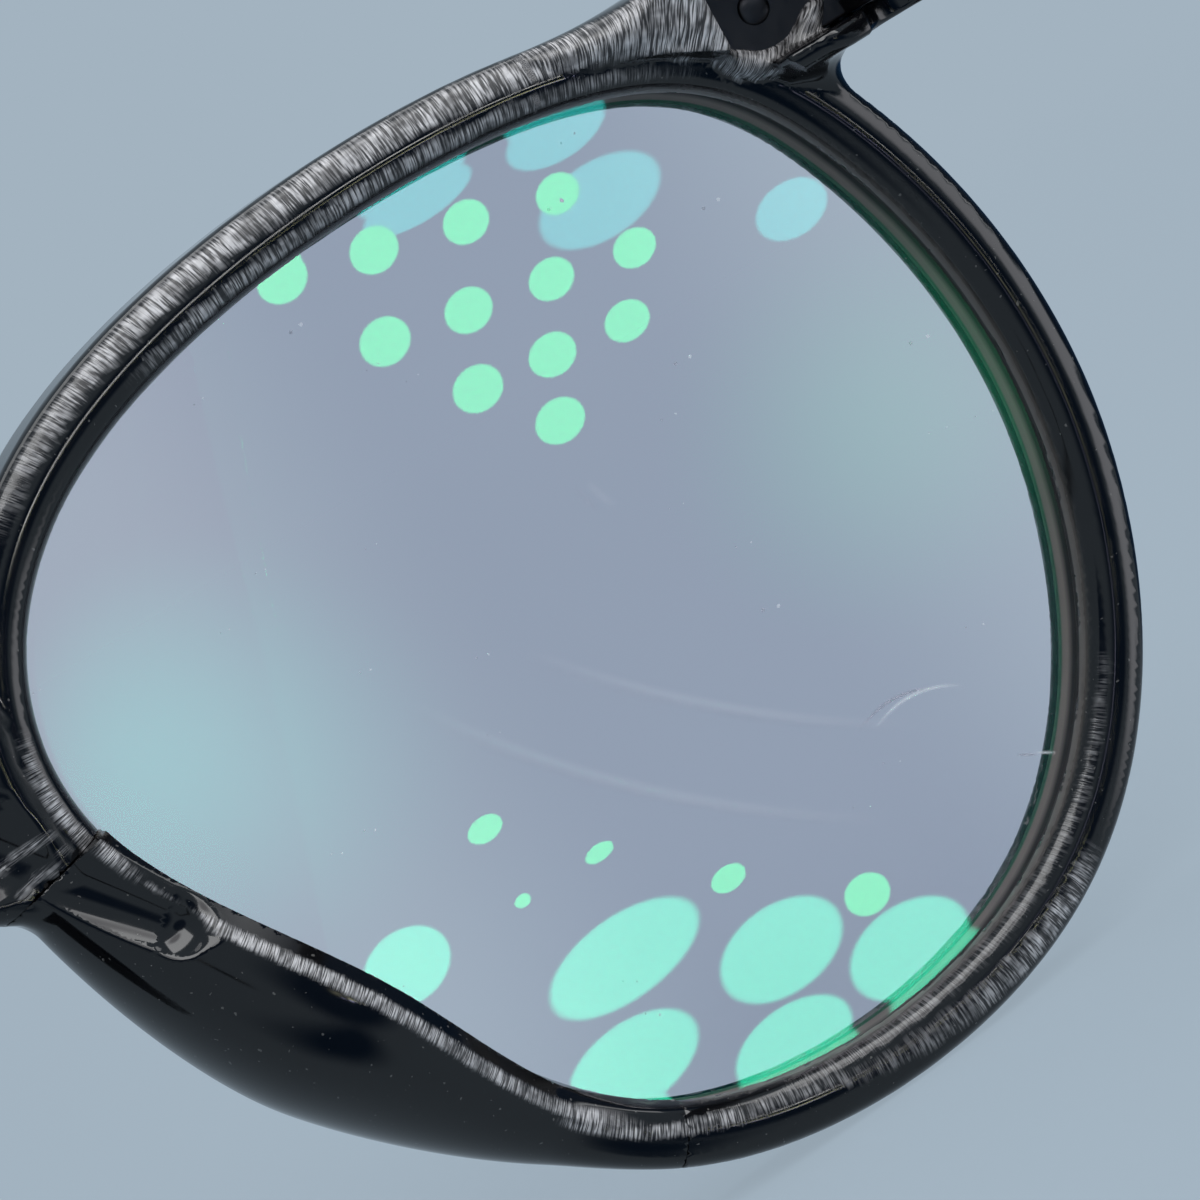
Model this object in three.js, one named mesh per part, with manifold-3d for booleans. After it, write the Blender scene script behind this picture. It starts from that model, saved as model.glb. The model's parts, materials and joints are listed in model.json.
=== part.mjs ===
// Round eyeglasses: a black plastic front with glued nose pads, bevelled lenses in grooved rims,
// and two temples with steel cores that fold on five-knuckle screw hinges.
// Millimetres, +Z up. The front faces -Y, the temples run towards +Y, the wearer's left eye is at +X.
import * as THREE from 'three';
import { mergeVertices } from 'three/addons/utils/BufferGeometryUtils.js';
import Module from 'manifold-3d';

// Lens and front
const LENS_WIDTH = 48;
const LENS_HEIGHT = 44.4;
const LENS_THICKNESS = 2;
const LENS_LIP = 0.5; // how far the lens edge sits inside the rim groove
const LENS_SET = 2; // depth of the lens edge behind the rim's front face
const BEVEL_HALF_WIDTH = 0.7; // of the V edge round the lens
const BASE_RADIUS = 132; // curve of the lens and of the front
const FACE_FORM = 7; // degrees each eye is turned round the face
const BRIDGE_GAP = 20; // between the two lenses
const BRIDGE_TOP = 13.4; // heights above the lens centres, on the middle plane
const BRIDGE_UNDER = 5.6;
const BRIDGE_INSET = 0.4; // bridge and endpiece faces inside the rim's faces
const BRIDGE_JOINTS = [0.7, 0.84]; // foot and top on the lens outline, as shares of the way round
const RIM_WIDTH = 3;
const RIM_DEPTH = 4.4;
const RIM_ROUND = 0.8;
const FRAME_WIDTH = 128.4; // across the outer sides of the temples
const ENDPIECE_DEPTH = 6; // front face to the joint with the temple
const ENDPIECE_ROUND = 2; // front outer corner
const ENDPIECE_JOINTS = [0.02, 0.15]; // top and foot on the lens outline

// Nose pads
const PAD_HEIGHT = 4.2; // behind the rim
const PAD_FLARE = 3.4; // towards the nose, beside the rim
const PAD_FRONT = 1.4; // front edge, behind the rim's front face
const PAD_SPAN = [0.515, 0.705]; // stretch of the lens outline
const PAD_END = 0.2; // section left at the pad's ends, as a share of the full one
const PAD_SWELL_POWER = 0.8; // below 1 the pad keeps its full section over a longer stretch
const PAD_SHOULDER = 0.75; // where the pad's rounded section turns, as a share of its height and flare

// Temples
const TEMPLE_LENGTH = 145; // from the hinge, round the bend, to the tip
const TEMPLE_BEND = 96; // hinge to the start of the bend
const TEMPLE_HEIGHT = 6;
const TEMPLE_NECK = 4.6; // height just before the bend
const TEMPLE_THICKNESS = 3.6;
const TIP_HEIGHT = 6.4;
const TIP_THICKNESS = 2.8;
const TEMPLE_DROP = 8; // degrees the temples run down from square to the front
const HOOK_ANGLE = 42; // degrees the tip turns down further
const HOOK_RADIUS = 18;
const TEMPLE_ROUND = 0.9;
const TIP_WIDEST = 0.8; // place of the tip's full height, as a share of the way from bend to end
const TIP_ANGLES = [30, 60, 80]; // degrees round the tip's end
const TIP_FLAT = 0.3; // height of the tip's blunt end, as a share of the full one
const CORE_LENGTH = 112;
const CORE_HEIGHT = 2;
const CORE_THICKNESS = 0.9;

// Hinges
const HINGE_RISE = 20.4; // hinge middle above the lens centres
const HINGE_INSET = 1.4; // axis inside the temple's inner face
const KNUCKLE_RADIUS = 1.5;
const KNUCKLE_HEIGHT = 0.75;
const KNUCKLE_GAP = 0.25;
const KNUCKLES = 5; // the odd ones are the front's, the even ones the temple's
const LEAF_THICKNESS = 0.9;
const FRONT_LEAF_LENGTH = 7.6;
const TEMPLE_LEAF_LENGTH = 9;
const SCREW_RADIUS = 0.65;
const SCREW_HEAD_RADIUS = 1.2;
const SCREW_HEAD_HEIGHT = 0.7;
const SCREW_SLOT = 0.35;

// Clearances
const FIT_GAP = 0.3; // between neighbours that are seated, glued or butted
const BORE_GAP = 0.25; // between screw and knuckle

// Lens outline: control points of a closed cubic B-spline, as shares of half the width and height,
// first towards the temple and then up.
const LENS_SHAPE = [
  [0.58, 1.055],
  [0.916, 0.655],
  [1.088, -0.138],
  [0.625, -1.062],
  [-0.45, -1.003],
  [-0.69, -0.3],
  [-1.12, 0.28],
  [-0.8, 0.97],
];

// Fineness of the curves
const OUTLINE_STEPS = 60;
const PAD_STEPS = 16;
const ROUND_STEPS = 20;
const HOOK_STEPS = 15;
const CURVE_STEPS = 12;
const CORNER_STEPS = 2;
const LENS_RINGS = [0.15, 0.4, 0.7]; // rings across a lens face, as shares of the way to its edge
const WELD = 1e-5; // corners closer than this are one
const TILT_LIMIT = 45; // degrees, widest tilt tried when the glasses are stood on the table
const TILT_HALVINGS = 50;

const RADIANS = Math.PI / 180;
const LENS_CENTRE = (BRIDGE_GAP + LENS_WIDTH) / 2;
const HALF_WIDTH = FRAME_WIDTH / 2;
const HINGE_SIDE = HALF_WIDTH - TEMPLE_THICKNESS - HINGE_INSET;
const RIM_OUTER = RIM_WIDTH - LENS_LIP; // rim's outer wall from the lens edge
const GROOVE_REACH = FIT_GAP * Math.SQRT2; // groove's bottom from the lens edge
const GROOVE_HALF_WIDTH = BEVEL_HALF_WIDTH + FIT_GAP;
const HINGE_HEIGHT = KNUCKLES * KNUCKLE_HEIGHT + (KNUCKLES - 1) * KNUCKLE_GAP;

const wasm = await Module();
wasm.setup();

const blackPlastic = new THREE.MeshStandardMaterial({ color: '#16171b', roughness: 0.16, metalness: 0 });
const clearLens = new THREE.MeshStandardMaterial({
  color: '#cfdde2',
  roughness: 0.04,
  metalness: 0,
  transparent: true,
  opacity: 0.35,
});
const nickelSilver = new THREE.MeshStandardMaterial({ color: '#3a3a3d', roughness: 0.36, metalness: 1 });
const steel = new THREE.MeshStandardMaterial({ color: '#9da1a6', roughness: 0.28, metalness: 1 });

// Solids

function signedVolume(positions, index) {
  const [a, b, c] = [new THREE.Vector3(), new THREE.Vector3(), new THREE.Vector3()];
  let volume = 0;
  for (let i = 0; i < index.count; i += 3) {
    a.fromBufferAttribute(positions, index.getX(i));
    b.fromBufferAttribute(positions, index.getX(i + 1));
    c.fromBufferAttribute(positions, index.getX(i + 2));
    volume += a.dot(b.cross(c)) / 6;
  }
  return volume;
}

// A closed mesh as a solid whose faces point outwards.
function solid(geometry) {
  const bare = new THREE.BufferGeometry();
  bare.setAttribute('position', geometry.getAttribute('position'));
  bare.setIndex(geometry.getIndex());
  const welded = mergeVertices(bare, WELD);
  const positions = welded.getAttribute('position');
  const triVerts = new Uint32Array(welded.getIndex().array);
  if (signedVolume(positions, welded.getIndex()) < 0) {
    triVerts.reverse();
  }
  const vertProperties = new Float32Array(positions.array);
  return new wasm.Manifold(new wasm.Mesh({ numProp: 3, vertProperties, triVerts }));
}

function geometryOf(manifold) {
  const { vertProperties, triVerts } = manifold.getMesh();
  const geometry = new THREE.BufferGeometry();
  geometry.setAttribute('position', new THREE.BufferAttribute(vertProperties, 3));
  geometry.setIndex([...triVerts]);
  return geometry;
}

function joined(...solids) {
  return solids.reduce((whole, next) => whole.add(next));
}

// The same solid with every corner moved by a function of its place.
function moved(manifold, move) {
  const geometry = geometryOf(manifold);
  const positions = geometry.getAttribute('position');
  const point = new THREE.Vector3();
  for (let i = 0; i < positions.count; i += 1) {
    move(point.fromBufferAttribute(positions, i));
    positions.setXYZ(i, point.x, point.y, point.z);
  }
  return solid(geometry);
}

function mirrored(manifold) {
  return moved(manifold, (point) => point.setX(-point.x));
}

function shifted(manifold, offset) {
  return moved(manifold, (point) => point.add(offset));
}

function block([x0, x1], [y0, y1], [z0, z1]) {
  const geometry = new THREE.BoxGeometry(x1 - x0, y1 - y0, z1 - z0);
  return solid(geometry.translate((x0 + x1) / 2, (y0 + y1) / 2, (z0 + z1) / 2));
}

function uprightCylinder(radius, z0, z1) {
  const geometry = new THREE.CylinderGeometry(radius, radius, z1 - z0, ROUND_STEPS);
  return solid(geometry.rotateX(Math.PI / 2).translate(0, 0, (z0 + z1) / 2));
}

// A skin over a row of rings of equal count: a closed loop of rings, or a bar whose ends are filled
// with the triangles of its section.
function loft(rings, endTriangles = null) {
  const count = rings[0].length;
  const index = [];
  const spans = endTriangles ? rings.length - 1 : rings.length;
  for (let i = 0; i < spans; i += 1) {
    const next = (i + 1) % rings.length;
    for (let j = 0; j < count; j += 1) {
      const [a, b] = [i * count + j, i * count + ((j + 1) % count)];
      const [c, d] = [next * count + ((j + 1) % count), next * count + j];
      index.push(a, b, c, a, c, d);
    }
  }
  if (endTriangles) {
    const last = (rings.length - 1) * count;
    endTriangles.forEach(([a, b, c]) => index.push(c, b, a, last + a, last + b, last + c));
  }
  const geometry = new THREE.BufferGeometry().setFromPoints(rings.flat());
  geometry.setIndex(index);
  return solid(geometry);
}

function sectionTriangles(section) {
  const outline = section.map(([x, y]) => new THREE.Vector2(x, y));
  const faces = THREE.ShapeUtils.triangulateShape(outline, []);
  return THREE.ShapeUtils.isClockWise(outline) ? faces.map(([a, b, c]) => [c, b, a]) : faces;
}

function extruded(shape, depth, round) {
  const geometry = new THREE.ExtrudeGeometry(shape, {
    depth: depth - 2 * round,
    bevelEnabled: round > 0,
    bevelThickness: round,
    bevelSize: round,
    bevelOffset: -round,
    bevelSegments: CORNER_STEPS,
    curveSegments: CURVE_STEPS,
  });
  geometry.translate(0, 0, round);
  return solid(geometry);
}

// Front, first laid out flat as (sideways, depth behind the front face, height above the lens centres)

class LensOutline extends THREE.Curve {
  getPoint(share, target = new THREE.Vector2()) {
    const count = LENS_SHAPE.length;
    const along = (((share % 1) + 1) % 1) * count;
    const span = Math.floor(along);
    const f = along - span;
    const weights = [
      (1 - f) ** 3,
      3 * f ** 3 - 6 * f ** 2 + 4,
      1 + 3 * f + 3 * f ** 2 - 3 * f ** 3,
      f ** 3,
    ];
    target.set(0, 0);
    weights.forEach((weight, i) => {
      const [sideways, up] = LENS_SHAPE[(span + i + count - 1) % count];
      target.x += (weight / 6) * sideways * (LENS_WIDTH / 2);
      target.y += (weight / 6) * up * (LENS_HEIGHT / 2);
    });
    return target;
  }

  // A point beside the outline: positive distances lie outside the lens.
  beside(share, distance) {
    const tangent = this.getTangent(share);
    return this.getPoint(share).add(new THREE.Vector2(-tangent.y, tangent.x).multiplyScalar(distance));
  }
}

const outline = new LensOutline();

function flatPoint(share, distance, depth) {
  const { x, y } = outline.beside(share, distance);
  return new THREE.Vector3(LENS_CENTRE + x, depth, y);
}

function corner(x, y, firstAngle) {
  return [0, 45, 90].map((turn) => {
    const angle = (firstAngle + turn) * RADIANS;
    return [x + RIM_ROUND * Math.cos(angle), y + RIM_ROUND * Math.sin(angle)];
  });
}

// Rounded bar with the lens groove in its inner wall.
function rimSolid() {
  const [inner, outer] = [RIM_ROUND - LENS_LIP, RIM_OUTER - RIM_ROUND];
  const section = [
    ...corner(inner, RIM_ROUND, 180),
    ...corner(outer, RIM_ROUND, 270),
    ...corner(outer, RIM_DEPTH - RIM_ROUND, 0),
    ...corner(inner, RIM_DEPTH - RIM_ROUND, 90),
    [-LENS_LIP, LENS_SET + GROOVE_HALF_WIDTH],
    [GROOVE_REACH, LENS_SET],
    [-LENS_LIP, LENS_SET - GROOVE_HALF_WIDTH],
  ];
  const rings = [];
  for (let i = 0; i < OUTLINE_STEPS; i += 1) {
    rings.push(section.map(([distance, depth]) => flatPoint(i / OUTLINE_STEPS, distance, depth)));
  }
  return loft(rings);
}

// Everything inside the rim's inner rounding, which bridge and endpieces keep out of.
function eyeSpace() {
  const section = [-ENDPIECE_DEPTH, 3 * ENDPIECE_DEPTH];
  const reach = GROOVE_REACH + FIT_GAP;
  const rings = section.map((depth) => {
    const ring = [];
    for (let i = 0; i < OUTLINE_STEPS; i += 1) {
      ring.push(flatPoint(i / OUTLINE_STEPS, reach, depth));
    }
    return ring;
  });
  return loft(rings, sectionTriangles(rings[0].map(({ x, z }) => [x, z])));
}

// Saddle between the rims, grown by a margin where a neighbour keeps clear of it.
function bridgeSolid(margin = 0) {
  const top = flatPoint(BRIDGE_JOINTS[1], RIM_OUTER / 2, 0);
  const foot = flatPoint(BRIDGE_JOINTS[0], RIM_OUTER / 2, 0);
  const [crown, arch] = [BRIDGE_TOP + margin, BRIDGE_UNDER - margin];
  // Handles at these heights bring each curve's middle to the crown and to the arch.
  const [crownHandle, archHandle] = [(4 * crown - top.z) / 3, (4 * arch - foot.z) / 3];
  const shape = new THREE.Shape();
  shape.moveTo(-top.x, top.z);
  shape.bezierCurveTo(-top.x / 2, crownHandle, top.x / 2, crownHandle, top.x, top.z);
  shape.lineTo(foot.x, foot.z);
  shape.bezierCurveTo((2 * foot.x) / 3, archHandle, (-2 * foot.x) / 3, archHandle, -foot.x, foot.z);
  const front = BRIDGE_INSET - margin;
  const bar = extruded(shape, RIM_DEPTH - 2 * front, RIM_ROUND);
  return moved(bar, (point) => point.set(point.x, point.z + front, point.y));
}

// Lug that runs from the rim's upper corner to the temple, cut square there later, with a gusset
// of the rim's depth under it.
function endpieceSolid() {
  const start = LENS_CENTRE + LENS_WIDTH / 4;
  const depth = ENDPIECE_DEPTH + TEMPLE_HEIGHT / 2;
  const shoulder = HINGE_SIDE - KNUCKLE_RADIUS - FIT_GAP;
  const [front, back] = [BRIDGE_INSET, RIM_DEPTH - BRIDGE_INSET];
  const [foot, top] = [HINGE_RISE - TEMPLE_HEIGHT / 2, HINGE_RISE + TEMPLE_HEIGHT / 2];

  const plan = new THREE.Shape();
  plan.moveTo(start, front);
  plan.lineTo((start + shoulder) / 2, front);
  plan.lineTo(shoulder, front);
  plan.lineTo(HALF_WIDTH - ENDPIECE_ROUND, front);
  plan.quadraticCurveTo(HALF_WIDTH, front, HALF_WIDTH, front + ENDPIECE_ROUND);
  plan.lineTo(HALF_WIDTH, depth);
  plan.lineTo(shoulder, depth);
  plan.lineTo((start + shoulder) / 2, back);
  plan.lineTo(start, back);
  const lug = moved(
    extruded(plan, 2 * TEMPLE_HEIGHT, TEMPLE_ROUND),
    (point) => point.setZ(point.z + foot),
  );
  const gusset = block([start, HINGE_SIDE], [front, back], [0, HINGE_RISE]);

  const brow = flatPoint(ENDPIECE_JOINTS[0], RIM_OUTER - BRIDGE_INSET, 0);
  const cheek = flatPoint(ENDPIECE_JOINTS[1], RIM_OUTER / 2, 0);
  const face = new THREE.Shape();
  face.moveTo(brow.x, brow.z);
  face.quadraticCurveTo((brow.x + HINGE_SIDE) / 2, brow.z, HINGE_SIDE, top);
  face.lineTo(HALF_WIDTH + TEMPLE_ROUND, top);
  face.lineTo(HALF_WIDTH + TEMPLE_ROUND, foot);
  face.lineTo(HINGE_SIDE + KNUCKLE_RADIUS, foot);
  face.quadraticCurveTo(cheek.x + RIM_OUTER / 2, foot, cheek.x, cheek.z);
  face.lineTo(start, cheek.z);
  const faceBar = moved(
    extruded(face, 2 * depth, TEMPLE_ROUND),
    (point) => point.set(point.x, point.z + front, point.y),
  );
  return lug.add(gusset).intersect(faceBar);
}

// How far the front curves back at a place: a sphere over each eye, eased level across the bridge.
function sag(sideways, height) {
  const nasal = LENS_WIDTH / 2;
  const lean = Math.tan(FACE_FORM * RADIANS);
  const fromLens = Math.max(Math.abs(sideways) - LENS_CENTRE, -nasal);
  const edgeSlope = lean - nasal / BASE_RADIUS;
  const inBridge = Math.max(1 - Math.abs(sideways) / (BRIDGE_GAP / 2), 0);
  const ease = -edgeSlope * (BRIDGE_GAP / 2) * (inBridge - inBridge ** 2 / 2);
  return (fromLens ** 2 + height ** 2) / (2 * BASE_RADIUS) + lean * fromLens + ease;
}

// From the flat layout to the curved front.
function bend(point) {
  return point.setY(point.y + sag(point.x, point.z));
}

const hinge = bend(new THREE.Vector3(HINGE_SIDE, ENDPIECE_DEPTH, HINGE_RISE));

// Slope of the front beside the hinge, which the front leaf lies along.
const hingeSlope = Math.atan(
  (sag(HINGE_SIDE, HINGE_RISE) - sag(HINGE_SIDE - FRONT_LEAF_LENGTH, HINGE_RISE)) / FRONT_LEAF_LENGTH);

// Hinge, about its own axis: X towards the outside, Y towards the back

function knuckleBand(number) {
  const foot = number * (KNUCKLE_HEIGHT + KNUCKLE_GAP) - HINGE_HEIGHT / 2;
  return [foot, foot + KNUCKLE_HEIGHT];
}

const LEAF_DEPTH = KNUCKLE_RADIUS + KNUCKLE_GAP; // front leaf's face, in front of the axis

function frontPlate(margin, back) {
  const reach = LEAF_DEPTH + LEAF_THICKNESS + margin;
  const half = HINGE_HEIGHT / 2 + margin;
  const plate = block([-FRONT_LEAF_LENGTH - margin, KNUCKLE_RADIUS + margin], [-reach, back], [-half, half]);
  return moved(plate, (point) => point.applyAxisAngle(new THREE.Vector3(0, 0, 1), hingeSlope));
}

// Plate let into the temple's inner face, which it follows downwards.
function templePlate(margin) {
  const half = HINGE_HEIGHT / 2 + margin;
  const plate = block(
    [HINGE_INSET - margin, HINGE_INSET + LEAF_THICKNESS + margin],
    [FIT_GAP - margin, TEMPLE_LEAF_LENGTH + margin],
    [-half, half],
  );
  return moved(plate, (point) => point.setZ(point.z - point.y * Math.tan(TEMPLE_DROP * RADIANS)));
}

function knuckles(first, neckSides, neckDepths) {
  const rolls = [];
  for (let number = first; number < KNUCKLES; number += 2) {
    const band = knuckleBand(number);
    rolls.push(uprightCylinder(KNUCKLE_RADIUS, ...band), block(neckSides, neckDepths, band));
  }
  return rolls;
}

function bored(leaf) {
  const reach = HINGE_HEIGHT;
  return leaf.subtract(uprightCylinder(SCREW_RADIUS + BORE_GAP, -reach, reach));
}

function frontLeafSolid() {
  const neck = knuckles(0, [-KNUCKLE_RADIUS, 0], [-LEAF_DEPTH - LEAF_THICKNESS / 2, 0]);
  return bored(joined(frontPlate(0, -LEAF_DEPTH), ...neck));
}

function templeLeafSolid() {
  const neck = knuckles(1, [0, HINGE_INSET + LEAF_THICKNESS], [FIT_GAP, LEAF_DEPTH]);
  const room = uprightCylinder(LEAF_DEPTH, -HINGE_HEIGHT, HINGE_HEIGHT);
  return bored(joined(templePlate(0).subtract(room), ...neck));
}

// Cheese-head screw through all knuckles.
function screwSolid() {
  const half = HINGE_HEIGHT / 2;
  const seat = half + FIT_GAP;
  const top = seat + SCREW_HEAD_HEIGHT;
  const body = joined(
    uprightCylinder(SCREW_RADIUS, -half, top - SCREW_HEAD_HEIGHT / 2),
    uprightCylinder(SCREW_HEAD_RADIUS, seat, top),
  );
  const reach = SCREW_HEAD_RADIUS * 2;
  const slot = block(
    [-reach, reach],
    [-SCREW_SLOT / 2, SCREW_SLOT / 2],
    [top - SCREW_SLOT, top + SCREW_SLOT],
  );
  return body.subtract(slot);
}

// Room that the turning knuckles and the screw head need in the plastic.
function hingeRoom() {
  const half = HINGE_HEIGHT / 2 + 2 * FIT_GAP + SCREW_HEAD_HEIGHT;
  return uprightCylinder(KNUCKLE_RADIUS + FIT_GAP, -half, half);
}

function frontSolid() {
  const keepOut = eyeSpace();
  const lug = endpieceSolid().subtract(keepOut);
  const rim = rimSolid();
  const saddle = bridgeSolid().subtract(keepOut).subtract(mirrored(keepOut));
  const flat = joined(rim, mirrored(rim), saddle, lug, mirrored(lug));
  const behind = 2 * ENDPIECE_DEPTH;
  const butt = block(
    [-FRONT_LEAF_LENGTH, TEMPLE_THICKNESS + HINGE_INSET + FIT_GAP],
    [-FIT_GAP / 2, behind],
    [-TEMPLE_HEIGHT, TEMPLE_HEIGHT],
  );
  const cut = shifted(joined(butt, hingeRoom(), frontPlate(FIT_GAP, behind)), hinge);
  return moved(flat, bend).subtract(cut).subtract(mirrored(cut));
}

// Lens with a V edge, as rings from the middle of one face to the middle of the other.
function lensSolid() {
  const edge = -LENS_LIP - FIT_GAP;
  const half = LENS_THICKNESS / 2;
  const profile = [
    [1, edge, LENS_SET - half],
    [1, edge, LENS_SET - BEVEL_HALF_WIDTH],
    [1, 0, LENS_SET],
    [1, edge, LENS_SET + BEVEL_HALF_WIDTH],
    [1, edge, LENS_SET + half],
  ];
  const rows = [
    ...LENS_RINGS.map((share) => [share, edge, LENS_SET - half]),
    ...profile,
    ...LENS_RINGS.toReversed().map((share) => [share, edge, LENS_SET + half]),
  ];
  const rings = rows.map(([share, distance, depth]) => {
    const ring = [];
    for (let i = 0; i < OUTLINE_STEPS; i += 1) {
      const point = flatPoint(i / OUTLINE_STEPS, distance, depth);
      point.x = LENS_CENTRE + share * (point.x - LENS_CENTRE);
      point.z *= share;
      ring.push(bend(point));
    }
    return ring;
  });
  return loft(rings, sectionTriangles(rings[0].map(({ x, z }) => [x, z])));
}

// Nose pad: a bar of L section glued round the rim's inner back corner, swelling in the middle.
function padSolid() {
  const [inner, wall, floor] = [RIM_ROUND - LENS_LIP, RIM_OUTER + FIT_GAP, RIM_DEPTH + FIT_GAP];
  const sections = [];
  for (let i = 0; i <= PAD_STEPS; i += 1) {
    const rise = Math.sin((Math.PI * i) / PAD_STEPS) ** PAD_SWELL_POWER;
    const swell = PAD_END + (1 - PAD_END) * rise;
    const [height, flare] = [PAD_HEIGHT * swell, PAD_FLARE * swell];
    sections.push([
      [inner, floor],
      [inner, floor + PAD_SHOULDER * height],
      [inner + RIM_ROUND, floor + height],
      [wall, floor + PAD_SHOULDER * height],
      [wall + PAD_SHOULDER * flare, floor],
      [wall + flare, (floor + PAD_FRONT) / 2],
      [wall + PAD_SHOULDER * flare, PAD_FRONT],
      [wall, PAD_FRONT],
      [wall, floor],
    ]);
  }
  const [from, to] = PAD_SPAN;
  const rings = sections.map((section, i) => {
    const share = from + ((to - from) * i) / PAD_STEPS;
    return section.map(([distance, depth]) => flatPoint(share, distance, depth));
  });
  const bar = loft(rings, sectionTriangles(sections[0]));
  return moved(bar.subtract(bridgeSolid(FIT_GAP)), bend);
}

// Temple, about the hinge axis

// Place and downward turn of the temple's middle line, some distance from the hinge.
function spine(distance) {
  const drop = TEMPLE_DROP * RADIANS;
  const arc = HOOK_RADIUS * HOOK_ANGLE * RADIANS;
  const straight = Math.min(distance, TEMPLE_BEND);
  const turn = drop + THREE.MathUtils.clamp(distance - TEMPLE_BEND, 0, arc) / HOOK_RADIUS;
  const past = Math.max(distance - TEMPLE_BEND - arc, 0);
  const across = HOOK_RADIUS * (Math.sin(turn) - Math.sin(drop));
  const down = HOOK_RADIUS * (Math.cos(drop) - Math.cos(turn));
  return {
    y: straight * Math.cos(drop) + across + past * Math.cos(turn),
    z: -straight * Math.sin(drop) - down - past * Math.sin(turn),
    turn,
  };
}

function spinePoint(distance, x, up) {
  const { y, z, turn } = spine(distance);
  return new THREE.Vector3(x, y + up * Math.sin(turn), z + up * Math.cos(turn));
}

const TEMPLE_OUTER = HINGE_INSET + TEMPLE_THICKNESS;

function templeThickness(distance) {
  return THREE.MathUtils.lerp(TEMPLE_THICKNESS, TIP_THICKNESS, distance / TEMPLE_LENGTH);
}

function templeHeight(distance) {
  if (distance <= TEMPLE_BEND) {
    return THREE.MathUtils.lerp(TEMPLE_HEIGHT, TEMPLE_NECK, distance / TEMPLE_BEND);
  }
  const along = (distance - TEMPLE_BEND) / (TEMPLE_LENGTH - TEMPLE_BEND);
  const widening = THREE.MathUtils.smoothstep(along, 0, TIP_WIDEST);
  return THREE.MathUtils.lerp(TEMPLE_NECK, TIP_HEIGHT, widening);
}

function chamfered(x0, x1, half, cut) {
  return [
    [x0 + cut, -half],
    [x1 - cut, -half],
    [x1, -half + cut],
    [x1, half - cut],
    [x1 - cut, half],
    [x0 + cut, half],
    [x0, half - cut],
    [x0, -half + cut],
  ];
}

function templeStations() {
  const stations = [-TEMPLE_HEIGHT, TEMPLE_BEND / 2];
  const hook = TEMPLE_LENGTH - TEMPLE_BEND;
  for (let i = 0; i < HOOK_STEPS - 1; i += 1) {
    stations.push(TEMPLE_BEND + (hook * i) / HOOK_STEPS);
  }
  return stations;
}

function templeSolid() {
  const sections = templeStations().map((distance) => {
    const inner = TEMPLE_OUTER - templeThickness(distance);
    return { distance, points: chamfered(inner, TEMPLE_OUTER, templeHeight(distance) / 2, TEMPLE_ROUND) };
  });
  // The tip rounds off over its last half height.
  const round = TIP_HEIGHT / 2;
  TIP_ANGLES.forEach((degrees) => {
    const distance = TEMPLE_LENGTH - round * (1 - Math.sin(degrees * RADIANS));
    const half = (templeHeight(distance) / 2) * Math.max(Math.cos(degrees * RADIANS), TIP_FLAT);
    const inner = TEMPLE_OUTER - templeThickness(distance);
    const cut = Math.min(TEMPLE_ROUND, half / 2);
    sections.push({ distance, points: chamfered(inner, TEMPLE_OUTER, half, cut) });
  });
  const rings = sections.map(({ distance, points }) => points.map(([x, up]) => spinePoint(distance, x, up)));
  const body = loft(rings, sectionTriangles(sections[0].points));
  const ahead = block(
    [-TEMPLE_THICKNESS, 2 * TEMPLE_OUTER],
    [-3 * TEMPLE_HEIGHT, FIT_GAP / 2],
    [-2 * TEMPLE_HEIGHT, 2 * TEMPLE_HEIGHT],
  );
  return body.subtract(joined(ahead, coreSolid(FIT_GAP), templePlate(FIT_GAP), hingeRoom()));
}

// Flat strip inside the temple. With a margin it is the channel, open at the hinge end.
function coreSolid(margin = 0) {
  const start = margin > 0 ? -TEMPLE_HEIGHT : 2 * FIT_GAP;
  const stations = [start, ...templeStations().slice(1).filter((d) => d < CORE_LENGTH), CORE_LENGTH + margin];
  const [halfX, halfZ] = [CORE_THICKNESS / 2 + margin, CORE_HEIGHT / 2 + margin];
  const rings = stations.map((distance) => {
    const middle = TEMPLE_OUTER - templeThickness(distance) / 2 + LEAF_THICKNESS / 2;
    return [
      spinePoint(distance, middle - halfX, -halfZ),
      spinePoint(distance, middle + halfX, -halfZ),
      spinePoint(distance, middle + halfX, halfZ),
      spinePoint(distance, middle - halfX, halfZ),
    ];
  });
  return loft(rings, [[0, 1, 2], [0, 2, 3]]);
}

// Assembly

const glasses = new THREE.Group();
const front = new THREE.Group();
glasses.add(front);

function addPiece(parent, name, manifold, material) {
  const geometry = geometryOf(manifold).toNonIndexed();
  geometry.computeVertexNormals();
  const mesh = new THREE.Mesh(geometry, material);
  mesh.name = name;
  parent.add(mesh);
}

addPiece(front, 'front_frame', frontSolid(), blackPlastic);

[['left', 1], ['right', -1]].forEach(([side, sign]) => {
  const handed = (manifold) => (sign > 0 ? manifold : mirrored(manifold));
  addPiece(front, `lens_${side}`, handed(lensSolid()), clearLens);
  addPiece(front, `nose_pad_${side}`, handed(padSolid()), blackPlastic);
  const pivot = new THREE.Group();
  pivot.position.set(sign * hinge.x, hinge.y, hinge.z);
  glasses.add(pivot);
  addPiece(pivot, `front_hinge_leaf_${side}`, handed(frontLeafSolid()), nickelSilver);
  addPiece(pivot, `hinge_screw_${side}`, handed(screwSolid()), steel);
  addPiece(pivot, `temple_${side}`, handed(templeSolid()), blackPlastic);
  addPiece(pivot, `temple_hinge_leaf_${side}`, handed(templeLeafSolid()), nickelSilver);
  addPiece(pivot, `temple_core_${side}`, handed(coreSolid()), steel);
});

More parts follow.
